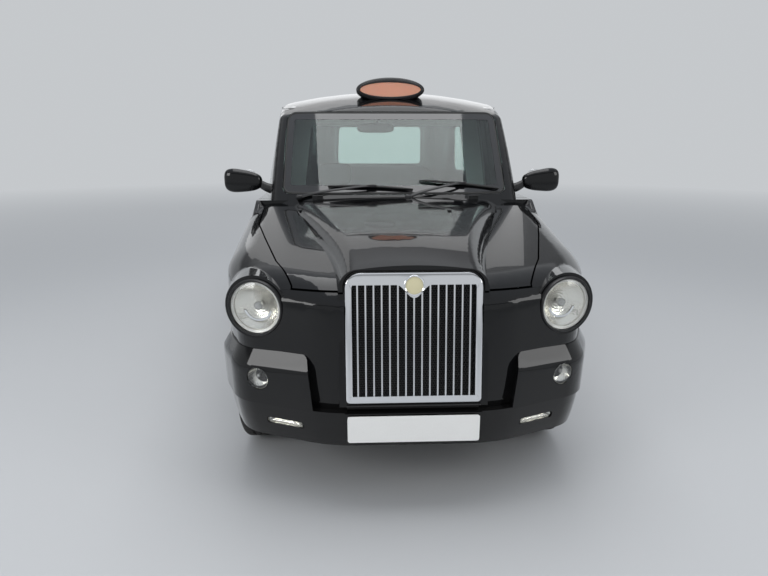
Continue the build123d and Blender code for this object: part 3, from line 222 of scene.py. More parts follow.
def surface(name, points, wrap_u=False, wrap_v=False, caps=False, smooth=True):
    """A mesh from an n by m grid of points: cell (i, j) lies between rows i, i+1 and columns j, j+1."""
    n, m = points.shape[:2]
    i, j = np.meshgrid(np.arange(n if wrap_u else n - 1), np.arange(m if wrap_v else m - 1), indexing="ij")
    up, across = (i + 1) % n, (j + 1) % m
    quads = grid(i * m + j, i * m + across, up * m + across, up * m + j).reshape(-1, 4).tolist()
    if caps:
        quads += [list(range(m))[::-1], list(range((n - 1) * m, n * m))]
    mesh = bpy.data.meshes.new(name)
    mesh.from_pydata(points.reshape(-1, 3).tolist(), [], quads)
    return tidy_mesh(name, mesh, smooth)


def tidy_mesh(name, mesh, smooth=True, closed=True, sharp=35.0):
    """Merges doubled points, turns the faces outwards and marks edges over sharp degrees as creases."""
    work = bmesh.new()
    work.from_mesh(mesh)
    bmesh.ops.remove_doubles(work, verts=work.verts, dist=1e-6)
    if closed:
        bmesh.ops.recalc_face_normals(work, faces=work.faces)
    for face in work.faces:
        face.smooth = smooth
    for edge in work.edges:
        edge.smooth = len(edge.link_faces) != 2 or edge.calc_face_angle(0.0) < math.radians(sharp)
    work.to_mesh(mesh)
    work.free()
    return added(name, mesh)


def unit(v):
    """Each vector of an array, at length one."""
    return v / np.linalg.norm(v, axis=-1, keepdims=True)


def sweep(name, path, profile, up=(0, 0, 1), closed=False, scale=None):
    """A closed profile (u, v) carried along a path: point = path + side * u + rise * v.
    side is tangent x up, and rise is side x tangent, both of length one."""
    path, profile = np.asarray(path, float), np.asarray(profile, float)
    ahead = np.roll(path, -1, 0) - np.roll(path, 1, 0) if closed else np.gradient(path, axis=0)
    side = unit(np.cross(unit(ahead), np.broadcast_to(up, path.shape)))
    rise = np.cross(side, unit(ahead))
    size = np.ones(len(path)) if scale is None else np.asarray(scale, float)
    flat = profile[None] * size[:, None, None]
    points = path[:, None] + side[:, None] * flat[..., :1] + rise[:, None] * flat[..., 1:]
    return surface(name, points, closed, True, caps=not closed)


def circle_round(axis, count):
    """An axis at length one, and the points of the circle of radius one round it."""
    axis = unit(np.asarray(axis, float))
    a = unit(np.cross(axis, (0.0, 0.0, 1.0) if abs(axis[2]) < 0.9 else (1.0, 0.0, 0.0)))
    t = around(count)[:, None]
    return axis, np.cos(t) * a + np.sin(t) * np.cross(axis, a)


def spin(name, profile, centre, axis, count=64):
    """A profile of (radius, distance) turned about an axis: centre + axis * d + r * (a cos t + b sin t)."""
    profile, (axis, ring) = np.asarray(profile, float), circle_round(axis, count)
    points = np.asarray(centre) + axis * profile[:, 1, None, None] + ring[None] * profile[:, 0, None, None]
    return surface(name, points, False, True)


def pebble(name, centre, half, power=0.35, rows=24, shape=None):
    """A rounded block: a sphere whose sines and cosines are raised to a power below one, then stretched."""
    u = np.linspace(-np.pi / 2, np.pi / 2, rows)[:, None]
    v = around(rows * 2)[None]
    ring = power_of(np.cos(u), power)
    ball = grid(ring * power_of(np.cos(v), power), ring * power_of(np.sin(v), power),
        power_of(np.sin(u), power))
    points = ball * np.asarray(half)
    if shape:
        points = shape(points, ball)
    return surface(name, points + np.asarray(centre), False, True)


def curve_through(points, count=40):
    """A smooth path through points: on each run a cubic whose slope at a point is half the step across it."""
    p = np.asarray(points, float)
    p = np.vstack([2 * p[0] - p[1], p, 2 * p[-1] - p[-2]])
    t = np.linspace(0, len(p) - 3 - 1e-9, count)
    k = t.astype(int)
    f = (t - k)[:, None]
    a, b, c, d = p[k], p[k + 1], p[k + 2], p[k + 3]
    return b + 0.5 * f * (c - a + f * (2 * a - 5 * b + 4 * c - d + f * (3 * (b - c) + d - a)))


def round_profile(radius, count=12, flat=1.0):
    """A round or flattened section of a bar."""
    t = around(count)
    return grid(radius * np.cos(t), radius * flat * np.sin(t))


# %% [markdown]
# ## Effects that finishes share
# Nearly every surface of a working cab has a fine grain, smudges that change its shine, and road dust
# that is thicker low down. Each is a node group, made once, with named inputs, so paint and rubber use
# the same dust at different strengths.

# %% Node group helpers


def node_group(name, inputs, output):
    """An empty shader group with float inputs {name: default} and one float output."""
    tree = bpy.data.node_groups.new(name, "ShaderNodeTree")
    for label, value in inputs.items():
        tree.interface.new_socket(label, in_out="INPUT", socket_type="NodeSocketFloat").default_value = value
    tree.interface.new_socket(output, in_out="OUTPUT", socket_type="NodeSocketFloat")
    return tree, tree.nodes.new("NodeGroupInput").outputs, tree.nodes.new("NodeGroupOutput")


# %% Grain, smudge and dust groups
grain_group, given, out = node_group("fine_grain", {"Scale": 900.0}, "Height")
feed(grain_group, out, {"Height": noise(grain_group, given["Scale"], 2.0)})

smudge_group, given, out = node_group("smudges", {"Scale": 6.0, "Amount": 0.1}, "Change")
centred = math_node(smudge_group, "SUBTRACT", noise(smudge_group, given["Scale"], 5.0), 0.5)
feed(smudge_group, out, {"Change": math_node(smudge_group, "MULTIPLY", centred, given["Amount"])})

dust_group, given, out = node_group("road_dust", {"Amount": 0.3, "Reach": 0.7}, "Mask")
where = shade(dust_group, "SeparateXYZ", {0: place_of(dust_group)}).outputs
height = math_node(dust_group, "DIVIDE", where["Z"], given["Reach"])
low = math_node(dust_group, "SUBTRACT", 1.0, height, clamp=True)
mottle = math_node(dust_group, "MULTIPLY", noise(dust_group, 9.0, 6.0), 1.6)
speck = math_node(dust_group, "MULTIPLY", noise(dust_group, 160.0, 2.0), mottle)
film = math_node(dust_group, "MULTIPLY", math_node(dust_group, "POWER", low, 1.5), speck)
feed(dust_group, out, {"Mask": math_node(dust_group, "MULTIPLY", film, given["Amount"], clamp=True)})

weave_group, given, out = node_group("weave", {"Scale": 2500.0}, "Height")
where = shade(weave_group, "SeparateXYZ", {0: place_of(weave_group)}).outputs
along = math_node(weave_group, "ADD", where["Y"], where["Z"])
threads = [math_node(weave_group, "SINE", math_node(weave_group, "MULTIPLY", way, given["Scale"]))
    for way in (where["X"], along)]
cross = math_node(weave_group, "MULTIPLY", *threads)
fuzz = math_node(weave_group, "MULTIPLY_ADD", noise(weave_group, 700.0, 3.0), 1.5, cross)
feed(weave_group, out, {"Height": fuzz})

# %% [markdown]
# ## Finishes
# One builder makes every plain finish: a Principled BSDF whose colour is dusted, whose roughness is
# smudged and whose surface has a grain or a weave. Each finish gives its own numbers.

# %% The finish builder
DUST = (0.19, 0.165, 0.135, 1)


def finish(name, colour, roughness, metallic=0.0, grain=(900.0, 0.02), smudge=(6.0, 0.1), dust=(0.25, 0.7),
        fleck=None, texture=None, **sockets):
    """A material: colour and roughness with dust, smudges and grain, or a texture group in its place. Any other
    input is set by its name, with underscores for spaces."""
    material, tree, shader = principled(name)
    others = {label.replace("_", " "): value for label, value in sockets.items()}
    feed(tree, shader, {"Metallic": metallic} | others)
    spots = math_node(tree, "GREATER_THAN", noise(tree, 420.0, 2.0), 0.62)
    base = shade(tree, "Mix", {"A": (*colour, 1), "B": (*(fleck or colour), 1), "Factor": spots},
        data_type="RGBA")
    mask = shade(tree, dust_group, {"Amount": dust[0], "Reach": dust[1]}).outputs["Mask"]
    dusted = shade(tree, "Mix", {"A": base.outputs["Result"], "B": DUST, "Factor": mask}, data_type="RGBA")
    change = shade(tree, smudge_group, {"Scale": smudge[0], "Amount": smudge[1]}).outputs["Change"]
    shine = math_node(tree, "ADD", math_node(tree, "ADD", change, roughness), mask, clamp=True)
    relief = shade(tree, texture or grain_group, {"Scale": grain[0]}).outputs["Height"]
    bump = shade(tree, "Bump", {"Strength": grain[1], "Distance": 0.001, "Height": relief})
    feed(tree, shader, {"Base Color": dusted.outputs["Result"], "Roughness": shine,
        "Normal": bump.outputs["Normal"]})
    return material


# %% Plain finishes
paint = finish("black_paint", (0.0035, 0.0037, 0.0042), 0.16, grain=(700.0, 0.012), smudge=(3.0, 0.1),
    dust=(0.22, 0.62), Specular_IOR_Level=0.05, Coat_Weight=1.0, Coat_Roughness=0.02, Coat_IOR=1.4)
satin = finish("black_satin", (0.01, 0.01, 0.011), 0.38, grain=(1200.0, 0.06), dust=(0.35, 0.7))
rubber = finish("black_rubber", (0.012, 0.012, 0.012), 0.62, grain=(1500.0, 0.12), dust=(0.45, 0.8))
tyre_rubber = finish("tyre_rubber", (0.017, 0.017, 0.018), 0.72, grain=(800.0, 0.25), smudge=(20.0, 0.2),
    dust=(0.22, 0.75), fleck=(0.028, 0.028, 0.027))
chrome = finish("chrome", (0.83, 0.84, 0.86), 0.07, 1.0, grain=(300.0, 0.004), smudge=(14.0, 0.08),
    dust=(0.25, 0.8))
steel = finish("bright_steel", (0.45, 0.46, 0.48), 0.34, 1.0, grain=(900.0, 0.05), dust=(0.5, 0.9))
silver = finish("wheel_silver", (0.52, 0.53, 0.55), 0.3, 0.85, grain=(900.0, 0.03), dust=(0.55, 0.8),
    Coat_Weight=0.6, Coat_Roughness=0.1)
chassis_black = finish("chassis_black", (0.016, 0.016, 0.017), 0.55, grain=(400.0, 0.3), dust=(0.9, 1.2))
engine_iron = finish("engine_iron", (0.13, 0.125, 0.12), 0.58, 0.6, grain=(300.0, 0.5), dust=(0.8, 1.2))
exhaust_steel = finish("exhaust_steel", (0.26, 0.22, 0.18), 0.52, 0.8, grain=(300.0, 0.25), dust=(0.8, 1.2),
    fleck=(0.2, 0.12, 0.07))
tank_plastic = finish("tank_plastic", (0.02, 0.02, 0.021), 0.5, grain=(900.0, 0.2), dust=(0.8, 1.2))
dash_plastic = finish("dash_grey", (0.045, 0.048, 0.052), 0.62, grain=(1100.0, 0.5), dust=(0, 1))
partition_grey = finish("partition_grey", (0.36, 0.38, 0.38), 0.55, grain=(900.0, 0.3), dust=(0, 1))
floor_mat = finish("floor_mat", (0.035, 0.036, 0.038), 0.85, grain=(500.0, 0.8), dust=(0.4, 0.9))
headlining = finish("headlining", (0.42, 0.43, 0.42), 0.9, grain=(1200.0, 0.6), dust=(0, 1))
cloth = finish("seat_cloth", (0.04, 0.043, 0.05), 0.88, grain=(2500.0, 0.75), fleck=(0.085, 0.09, 0.105),
    dust=(0, 1), texture=weave_group, Sheen_Weight=0.35)
piping = finish("seat_piping", (0.012, 0.012, 0.013), 0.6, grain=(1500.0, 0.2), dust=(0, 1))
plate_white = finish("plate_white", (0.9, 0.9, 0.88), 0.28, grain=(300.0, 0.01), dust=(0.2, 0.9),
    Coat_Weight=0.5, Coat_Roughness=0.1)
cream = finish("badge_cream", (0.72, 0.66, 0.42), 0.2, grain=(300.0, 0.01), dust=(0, 1), Coat_Weight=1.0)
sign_amber = finish("sign_lens", (0.72, 0.33, 0.22), 0.32, grain=(900.0, 0.03), dust=(0, 1),
    Subsurface_Weight=0.25, Coat_Weight=0.6, Coat_Roughness=0.08)
red_lens = finish("red_lens", (0.36, 0.008, 0.008), 0.12, grain=(200.0, 0.05), dust=(0.2, 1.0),
    Coat_Weight=1.0, Coat_Roughness=0.04)
reflector = finish("lamp_reflector", (0.86, 0.84, 0.78), 0.13, 1.0, grain=(90.0, 0.35), smudge=(30.0, 0.1),
    dust=(0, 1))
lamp_trim = finish("lamp_trim", (0.66, 0.65, 0.62), 0.3, 0.3, dust=(0, 1))
bulb_grey = finish("bulb_holder", (0.42, 0.42, 0.41), 0.25, 0.7, dust=(0, 1))

# %% [markdown]
# ## Glass
# Car glass is clear, with a green tint. A pane has two faces, so light bends in and out of it. Light from
# the lamps is let straight through, or the cabin behind it would be black.

# %% Glass finishes


def glass(name, tint):
    """Clear tinted glass that lets lamp light through to what is behind it."""
    material, tree, shader = principled(name)
    film = math_node(tree, "MULTIPLY_ADD", noise(tree, 14.0, 4.0), 0.004, 0.0)
    feed(tree, shader, {"Transmission Weight": 1.0, "IOR": 1.45, "Base Color": (*tint, 1), "Roughness": film})
    clear = shade(tree, "BsdfTransparent", {"Color": (*tint, 1)})
    blended(tree, shade(tree, "LightPath").outputs["Is Shadow Ray"], shader.outputs[0], clear.outputs[0])
    return material


window_glass = glass("window_glass", (0.76, 0.86, 0.83))
lens_glass = glass("lens_glass", (0.97, 0.98, 0.98))

# %% [markdown]
# ## The CAD pieces get their finishes
# A CAD node whose shape is right stays. The record names a slot for every node, so a table from slot to
# material dresses them all. What comes later only replaces the nodes that need a finer shape.

# %% Dress every CAD node
FINISHES = {
    "black_paint": paint, "black_trim": satin, "chassis_black": chassis_black, "engine_iron": engine_iron,
    "exhaust_steel": exhaust_steel, "tank_plastic": tank_plastic, "bright_steel": steel, "tyre": tyre_rubber,
    "wheel_silver": silver, "window_glass": window_glass, "lens_glass": lens_glass, "lamp_lens": lens_glass,
    "red_lens": red_lens, "chrome": chrome, "sign_lens": sign_amber, "plate_white": plate_white,
    "seat_cloth": cloth, "dash_grey": dash_plastic, "partition_grey": partition_grey, "floor_mat": floor_mat,
}
SLOTS = {material: slot for slot, material in FINISHES.items()}
SLOTS |= dict.fromkeys((reflector, lamp_trim, bulb_grey, cream), "chrome") | {headlining: "partition_grey"}


def dress(piece, material, body="root", stands_for=()):
    """Gives a piece its finish and body, and hides the CAD nodes it stands for."""
    piece.data.materials.clear()
    piece.data.materials.append(material)
    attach(piece, body)
    if stands_for:
        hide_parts(*stands_for)
    return piece


slot_of = {entry["node"]: entry["material_slot"] for entry in frame["record"]["subparts"]}
for name, node in nodes.items():
    node.data.materials.clear()
    node.data.materials.append(FINISHES[slot_of[name]])
print("dressed", len(nodes), "nodes")

# %% [markdown]
# ## Panels that mirror cleanly
# A CAD panel arrives as loose triangles, and a mirror finish would show every facet. A copy is merged,
# shaded smooth and creased at real edges, and it stands for the node. Normals weighted by face area keep
# broad panels calm beside small edges.

# %% Smooth copies of the painted and plated panels


def polished(name):
    """A merged, smooth-shaded copy of a CAD node, which stands for it."""
    piece = tidy_mesh(name + "_skin", nodes[name].data.copy(), True, False, 26.0)
    weighted = piece.modifiers.new("weighted", "WEIGHTED_NORMAL")
    weighted.keep_sharp, weighted.weight = True, 50
    return dress(piece, FINISHES[slot_of[name]], body_of[name], [name])


body_of = {name: body for body, names in frame["record"]["behaviour"]["bodies"].items() for name in names}
PANELS = ["bonnet", "front_wings", "front_panel", "front_bumper", "rear_bumper", "side_frames", "roof",
    "scuttle", "rear_panel", "boot_lid", "windscreen", "rear_windows", "roof_sign", "rear_lamps", "partition",
    "partition_glass", "dashboard"]
PANELS += [f"{end}_{part}_{tag}" for end in ("front", "rear") for part in ("door", "door_glass", "rim")
           for _, tag in SIDES]
skins = {name: polished(name) for name in PANELS}


def struck(panel, start, way):
    """Where a ray from start meets a panel's smooth copy, and the normal there."""
    hit = skins[panel].ray_cast(Vector(start), Vector(way))
    return np.array(hit[1]), np.array(hit[2])


def corners(node):
    """The lowest and the highest corner of a CAD node, as arrays."""
    return (np.array(corner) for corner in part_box(node))


print("polished", len(skins), "panels,", sum(len(p.data.polygons) for p in skins.values()), "triangles")

# %% [markdown]
# ## Laying trim on a panel
# Seals, covers and dark borders follow panels that curve both ways. Each is first a flat grid, and a
# Shrinkwrap modifier pushes it along one axis until it meets the panel. The modifier is applied at once,
# so the piece is a plain mesh.

# %% Lay-on helper and outlines


def settle(piece):
    """Applies a piece's modifiers, so that its mesh is what they made."""
    done = piece.evaluated_get(bpy.context.evaluated_depsgraph_get())
    piece.data = bpy.data.meshes.new_from_object(done)
    piece.modifiers.clear()
    return piece


def lay_on(piece, node, axis, lift=0.0, towards=1):
    """Pushes each point along an axis (towards is its sign) until it is lift metres short of a CAD node."""
    wrap = piece.modifiers.new("lay", "SHRINKWRAP")
    wrap.target, wrap.wrap_method, wrap.offset = nodes[node], "PROJECT", lift
    wrap.use_project_x, wrap.use_project_y, wrap.use_project_z = (a == axis for a in "XYZ")
    wrap.use_positive_direction, wrap.use_negative_direction = towards > 0, towards < 0
    return settle(piece)


def places_of(piece):
    """The places of a piece's points, one row for each."""
    points = np.zeros(len(piece.data.vertices) * 3)
    piece.data.vertices.foreach_get("co", points)
    return points.reshape(-1, 3)


def moved(piece, change):
    """Moves all of a piece's points at once: change takes and gives an array of places."""
    piece.data.vertices.foreach_set("co", change(places_of(piece)).ravel())
    piece.data.update()
    return piece


def thicken(piece, depth, offset=-1.0):
    """Gives a sheet a thickness behind its face."""
    wall = piece.modifiers.new("wall", "SOLIDIFY")
    wall.thickness, wall.offset = depth, offset
    return settle(piece)


def rounded_loop(corners, radii):
    """An outline whose corners are arcs. A centre is r / sin(half the corner's angle) along the bisector, and
    a point is centre + r * (sin((1-t)f) u + sin(tf) v) / sin f, with u and v to the arc's ends, f apart."""
    c, r = np.asarray(corners, float), np.asarray(radii, float)[:, None]
    before, after = unit(np.roll(c, 1, 0) - c), unit(np.roll(c, -1, 0) - c)
    half = np.arccos(np.clip((before * after).sum(1, keepdims=True), -1, 1)) / 2
    centre = c + unit(before + after) * r / np.sin(half)
    u, v = unit(c + before * r / np.tan(half) - centre), unit(c + after * r / np.tan(half) - centre)
    t, f = np.linspace(0, 1, 12)[None, :, None], (np.pi - 2 * half)[:, None]
    bend = (np.sin((1 - t) * f) * u[:, None] + np.sin(t * f) * v[:, None]) / np.sin(f)
    return (centre[:, None] + r[:, None] * bend).reshape(-1, 2)


def oblong(u0, u1, v0, v1, radius, count):
    """The evenly spaced outline of a rectangle with rounded corners."""
    return evenly(rounded_loop([(u0, v0), (u1, v0), (u1, v1), (u0, v1)], [radius] * 4), count)


def evenly(loop, count=160):
    """The same closed outline with evenly spaced points."""
    loop = np.vstack([loop, loop[:1]])
    run = np.concatenate([[0], np.cumsum(np.linalg.norm(np.diff(loop, axis=0), axis=1))])
    at = np.linspace(0, run[-1], count, endpoint=False)
    return np.stack([np.interp(at, run, loop[:, k]) for k in range(2)], -1)


def inset(loop, distance):
    """An outline moved inwards: each point goes distance along the normal to its neighbours' line."""
    ahead = unit(np.roll(loop, -1, 0) - np.roll(loop, 1, 0))
    normal = grid(-ahead[:, 1], ahead[:, 0])
    area = (loop[:, 0] * np.roll(loop[:, 1], -1) - loop[:, 1] * np.roll(loop[:, 0], -1)).sum()
    return loop + normal * (distance if area > 0 else -distance)


def band(name, loop, steps, place, **closing):
    """A closed band between insets of an outline: a ring per (inset, lift) in steps; place makes them 3D."""
    rings = np.stack([place(inset(loop, distance), lift) for distance, lift in steps], 0)
    return surface(name, rings, False, True, **closing)


def fore_and_aft(y):
    """Places a front-view outline on a plane at y."""
    return lambda p, lift: grid(p[:, 0], y + lift, p[:, 1])


def sideways(x):
    """Places a side-view outline on a plane at x."""
    return lambda p, lift: grid(x, y_at(p[:, 0]), p[:, 1])


# %% [markdown]
# ## Grille
# The grille is one bright frame with square shoulders and fifteen upright bars. The frame's top band dips
# to carry a round badge, which stays blank. The frame leans back, so every point's depth comes from its
# height.

# %% Grille frame, bars and badge
GRILLE_HALF, GRILLE_FOOT, GRILLE_TOP = 0.266, 0.5, 1.01
BADGE_Z, BADGE_R = 0.96, 0.04


def on_grille(x, z, depth):
    """Points on the grille's leaning plane, depth metres behind it."""
    return grid(x, y_at(0.012 + 0.12 * (z - 0.486) + depth), z)


outer = evenly(rounded_loop([(-GRILLE_HALF, GRILLE_FOOT), (GRILLE_HALF, GRILLE_FOOT),
    (GRILLE_HALF, GRILLE_TOP), (-GRILLE_HALF, GRILLE_TOP)], [0.018, 0.018, 0.062, 0.062]), 480)


def grille_opening(distance):
    """The frame's inner outline: the outer one moved in, and its top edge pressed down round the badge."""
    loop = inset(outer, distance)
    low, high = GRILLE_FOOT + 0.034 - 0.004, GRILLE_TOP - 0.048
    x, z = loop[:, 0], np.clip(loop[:, 1], low, high)
    reach = BADGE_R + 0.01
    dip = (np.cos(np.clip(np.abs(x) / (reach * 1.35), 0, 1) * np.pi) + 1) / 2
    z = np.where(z > high - 1e-4, z - 0.05 * dip, z)
    return grid(x, z)


def frame_ring(loop, depth):
    """A ring of the grille frame."""
    return on_grille(loop[:, 0], loop[:, 1], depth)


steps = [(outer, 0.04), (outer, 0.0), (inset(outer, 0.003), -0.006), (inset(outer, 0.01), -0.009),
    (grille_opening(0.02), -0.009), (grille_opening(0.027), -0.005), (grille_opening(0.03), 0.004),
    (grille_opening(0.031), 0.034)]
rings = np.stack([frame_ring(*step) for step in steps], 0)
dress(surface("grille_frame", rings, True, True), chrome, stands_for=["grille"])

bar_x = (np.arange(15) - 7) * 0.031
edge = grille_opening(0.03)
top_run = edge[edge[:, 1] > 0.8]
order = np.argsort(top_run[:, 0])
for k, x in enumerate(bar_x):
    top = np.interp(x, top_run[order, 0], top_run[order, 1]) + 0.004
    z = np.linspace(GRILLE_FOOT + 0.026, top, 12)
    path = on_grille(np.full(12, x), z, 0.012)
    shape = mm((-4.2, 0), (-3.2, -9), (0, -12), (3.2, -9), (4.2, 0), (3, 12), (-3, 12))
    dress(sweep(f"grille_bar_{k + 1:02d}", path, shape, up=(0, -1, 0)), chrome)

COLLAR = mm((-1, 34), (-1, 4), (-3, 1), (-5.2, 4), (-5.2, 34))
collar = np.stack([frame_ring(inset(outer, distance), depth) for distance, depth in COLLAR], 0)
dress(surface("grille_collar", collar, True, True), rubber)
x, z = np.meshgrid(np.linspace(-0.262, 0.262, 60), np.linspace(0.4615, 0.4955, 36), indexing="ij")
strip = lay_on(surface("grille_step", grid(x, AHEAD, z)), "front_panel", "Y", 0.004)
strip = moved(strip, lambda p: p - grid(0, 0.0016 * np.cos(p[:, 2] * 900), 0))
dress(strip, satin)

badge_at = on_grille(np.array(0.0), np.array(BADGE_Z), -0.01)
lean = unit(np.array([0.0, 1.0, -0.12]))
dress(spin("badge_ring", [(BADGE_R - 0.007, 0.003), (BADGE_R - 0.006, -0.004), (BADGE_R - 0.002, -0.006),
    (BADGE_R, -0.002), (BADGE_R, 0.012), (0.0, 0.012)], badge_at, lean), chrome)
dress(spin("badge_disc", [(0.0, -0.003), (0.02, -0.0025), (BADGE_R - 0.006, 0.0), (BADGE_R - 0.006, 0.004),
    (0.0, 0.004)], badge_at, lean), cream)

# %% [markdown]
# The mesh behind the bars is an array of six-sided rings. A ring is two hexagons, an outer that touches
# its neighbours and an inner that is the hole. A dark radiator face with shallow fins closes the view.

# %% Mesh and radiator
pitch = 0.0105
cols, rows = int(0.49 / pitch), int(0.44 / (pitch * 0.866))
ci, ri = np.meshgrid(np.arange(cols), np.arange(rows), indexing="ij")
cx = (ci - (cols - 1) / 2 + 0.5 * (ri % 2)) * pitch
cz = GRILLE_FOOT + 0.03 + ri * pitch * 0.866
keep = (np.abs(cx) < 0.236) & (cz < GRILLE_TOP - 0.045)
centres = grid(cx[keep], cz[keep])
turn = np.radians(30 + 60 * np.arange(6))
hexagon = grid(np.cos(turn), np.sin(turn)) / math.sqrt(3)
ring_radii, ring_depths = np.array([1.0, 0.8, 0.8]) * pitch, np.array([0.02, 0.02, 0.026])
flat = centres[:, None, None] + hexagon[None, None] * ring_radii[None, :, None, None]
mesh_points = on_grille(flat[..., 0], flat[..., 1],
    np.broadcast_to(ring_depths[None, :, None], flat.shape[:3]))
k, j = np.meshgrid(np.arange(2), np.arange(6), indexing="ij")
cell = grid(k * 6 + j, k * 6 + (j + 1) % 6, (k + 1) * 6 + (j + 1) % 6, (k + 1) * 6 + j).reshape(-1, 4)
faces = (np.arange(len(centres))[:, None, None] * 18 + cell[None]).reshape(-1, 4)
wire = bpy.data.meshes.new("grille_mesh")
wire.from_pydata(mesh_points.reshape(-1, 3).tolist(), [], faces.tolist())
dress(tidy_mesh("grille_mesh", wire, False, False), satin)
x, z = np.meshgrid(np.linspace(-0.245, 0.245, 160), np.linspace(GRILLE_FOOT + 0.02, GRILLE_TOP - 0.02, 12),
    indexing="ij")
fins = surface("radiator_face", on_grille(x, z, 0.036 + 0.003 * np.sin(x * 420)))
dress(fins, chassis_black)
print("grille mesh has", len(centres), "cells")

# %% [markdown]
# ## Headlamps
# A headlamp is a round clear dome over a bright bowl, turned outwards with the wing. The bowl is pressed
# into small facets, which scatter its highlights, and a bulb with a shield stands in it.

# %% Headlamp reflectors and bulbs
LAMP_X, LAMP_S, LAMP_Z, LAMP_TURN = 0.621, 0.146, 0.853, math.radians(14)
HEADLAMP = (
    ("bezel", lamp_trim, 64, [], mm((91.5, 20), (92.5, 9), (103, 6), (103, 19))),
    ("ring", satin, 96, ["headlamps"],
     mm((0, 84), (60, 77), (104.5, 21), (104.5, 0), (106.5, -5), (113, -6), (116, 0), (116, 96), (0, 96))),
    ("dome", lens_glass, 96, ["headlamp_lenses"],
     mm((0, -14), (30, -13), (55, -10.4), (80, -5.8), (96.5, -0.4), (103.5, 3), (103.5, 5.5), (95.5, 2.8),
        (80, -2.2), (55, -6.8), (30, -9.4), (0, -10.4))),
    ("shield", bulb_grey, 64, [], mm((0, 26), (12, 27), (17, 32), (18, 40), (10, 62), (0, 64))),
)


def faceted_bowl(name, centre, axis, radius, depth, rim, spokes=36, rows=26):
    """A bowl: distance = rim + depth * (1 - (r / R)^2), with facets by a cosine of angle and radius."""
    r = np.linspace(0.0, radius, rows)[:, None]
    t = around(spokes * 4)[None]
    facets = 0.0011 * np.cos(t * spokes) * np.cos(r / radius * 26) * np.clip(r / radius * 2, 0, 1)
    d = rim + depth * (1 - (r / radius) ** 2) + facets
    axis, ring = circle_round(axis, spokes * 4)
    return surface(name, np.asarray(centre) + axis * d[..., None] + ring[None] * r[..., None], False, True)


for side, tag in SIDES:
    centre = (side * LAMP_X, y_at(LAMP_S), LAMP_Z)
    back = (-side * math.sin(LAMP_TURN), math.cos(LAMP_TURN), 0.0)
    dress(faceted_bowl(f"headlamp_bowl_{tag}", centre, back, 0.094, 0.05, 0.018), reflector)
    for part, material, count, node, profile in HEADLAMP:
        dress(spin(f"headlamp_{part}_{tag}", profile, centre, back, count), material,
            stands_for=node * (side > 0))
    arc = np.radians(np.linspace(200, 340, 40))
    across = np.array([math.cos(LAMP_TURN), side * math.sin(LAMP_TURN), 0.0])
    path = np.array(centre) + np.array(back) * 0.034 + 0.058 * np.cos(arc)[:, None] * across
    path[:, 2] += 0.058 * np.sin(arc)
    dress(sweep(f"headlamp_ledge_{tag}", path, mm((-4, -2), (4, -2), (4, 2), (-4, 2)), up=back), chrome)

# %% [markdown]
# ## Bumper lamps and plate
# The pods carry round lamps, and slot lamps sit below them. Each cover is a flat grid pushed back onto
# the CAD lamp and given a thickness, with a bright tray and a bulb behind. The number plate is a plain
# blank.

# %% Round lamps, slot lamps and the blank plate
POD_LAMP = (0.62, 0.566, 0.0455)
SLOT_LAMP = (0.515, 0.38, 0.076, 0.0135)


def on_bumper(name, cx, cz, rx, rz, square=1.0):
    """Rings round (cx, cz), laid on the bumper's lamps; a square power below one squares the corners."""
    k, t = np.linspace(0, 1, 10)[:, None], around(64)[None]
    disc = grid(cx + k * rx * power_of(np.cos(t), square), AHEAD, cz + k * rz * power_of(np.sin(t), square))
    return lay_on(surface(name, disc, False, True), "bumper_lamps", "Y")


for side, tag in SIDES:
    x, z, r = POD_LAMP
    cover = on_bumper(f"pod_lamp_cover_{tag}", side * x, z, r, r)
    depth = max(v.co.y for v in cover.data.vertices)
    dress(thicken(cover, 0.003), lens_glass, stands_for=["bumper_lamps"] * (side > 0))
    dress(faceted_bowl(f"pod_lamp_bowl_{tag}", (side * x, depth + 0.004, z), (0, 1, 0), r * 0.93, 0.024,
        0.002, 24, 16), reflector)
    dress(spin(f"pod_lamp_ring_{tag}", [(r * 0.92, 0.004), (r * 0.93, -0.001), (r, -0.001), (r, 0.03),
        (r * 0.96, 0.03)], (side * x, depth + 0.003, z), (0, 1, 0)), satin)
    dress(pebble(f"pod_lamp_bulb_{tag}", (side * x, depth + 0.016, z), (0.008, 0.012, 0.008), 0.8, 12),
        bulb_grey)
    x, z, rx, rz = SLOT_LAMP
    dress(thicken(on_bumper(f"slot_lamp_cover_{tag}", side * x, z, rx, rz, 0.35), 0.003), lens_glass)

    def hollow(p, x=side * x):
        """Presses the tray back: 5 mm at its rim and 16 mm more inside, with upright flutes."""
        k = np.clip(np.maximum(np.abs(p[:, 0] - x) / rx, np.abs(p[:, 2] - z) / rz), 0, 1)
        return p + grid(0, 0.005 + 0.016 * (1 - k ** 4) + 0.001 * np.cos(p[:, 0] * 900), 0)
    dress(moved(on_bumper(f"slot_lamp_tray_{tag}", side * x, z, rx, rz, 0.35), hollow), reflector)

low, high = corners("front_plate")
face = oblong(low[0], high[0], low[2], high[2], 0.006, 120)
plate = band("number_plate", face, mm((0, 4), (0, 0.8), (0.8, 0), (3, 0)), fore_and_aft(low[1]), caps=True)
dress(plate, plate_white, stands_for=["front_plate"])
for side, tag in SIDES:
    dress(spin(f"plate_screw_{tag}", mm((0, -1), (4, -0.8), (5.5, 0), (5.5, 2), (0, 2)),
        (side * 0.235, low[1] + 0.0008, (low[2] + high[2]) / 2), (0, 1, 0), 20), plate_white)

# %% [markdown]
# ## Dark borders and rubber seals of the glass
# Bonded glass has a black border fired on its edge. Here it is a band between the pane's outline and a
# smaller copy of it, laid on the pane. The seal is a narrower band whose middle is lifted, like extruded
# rubber.

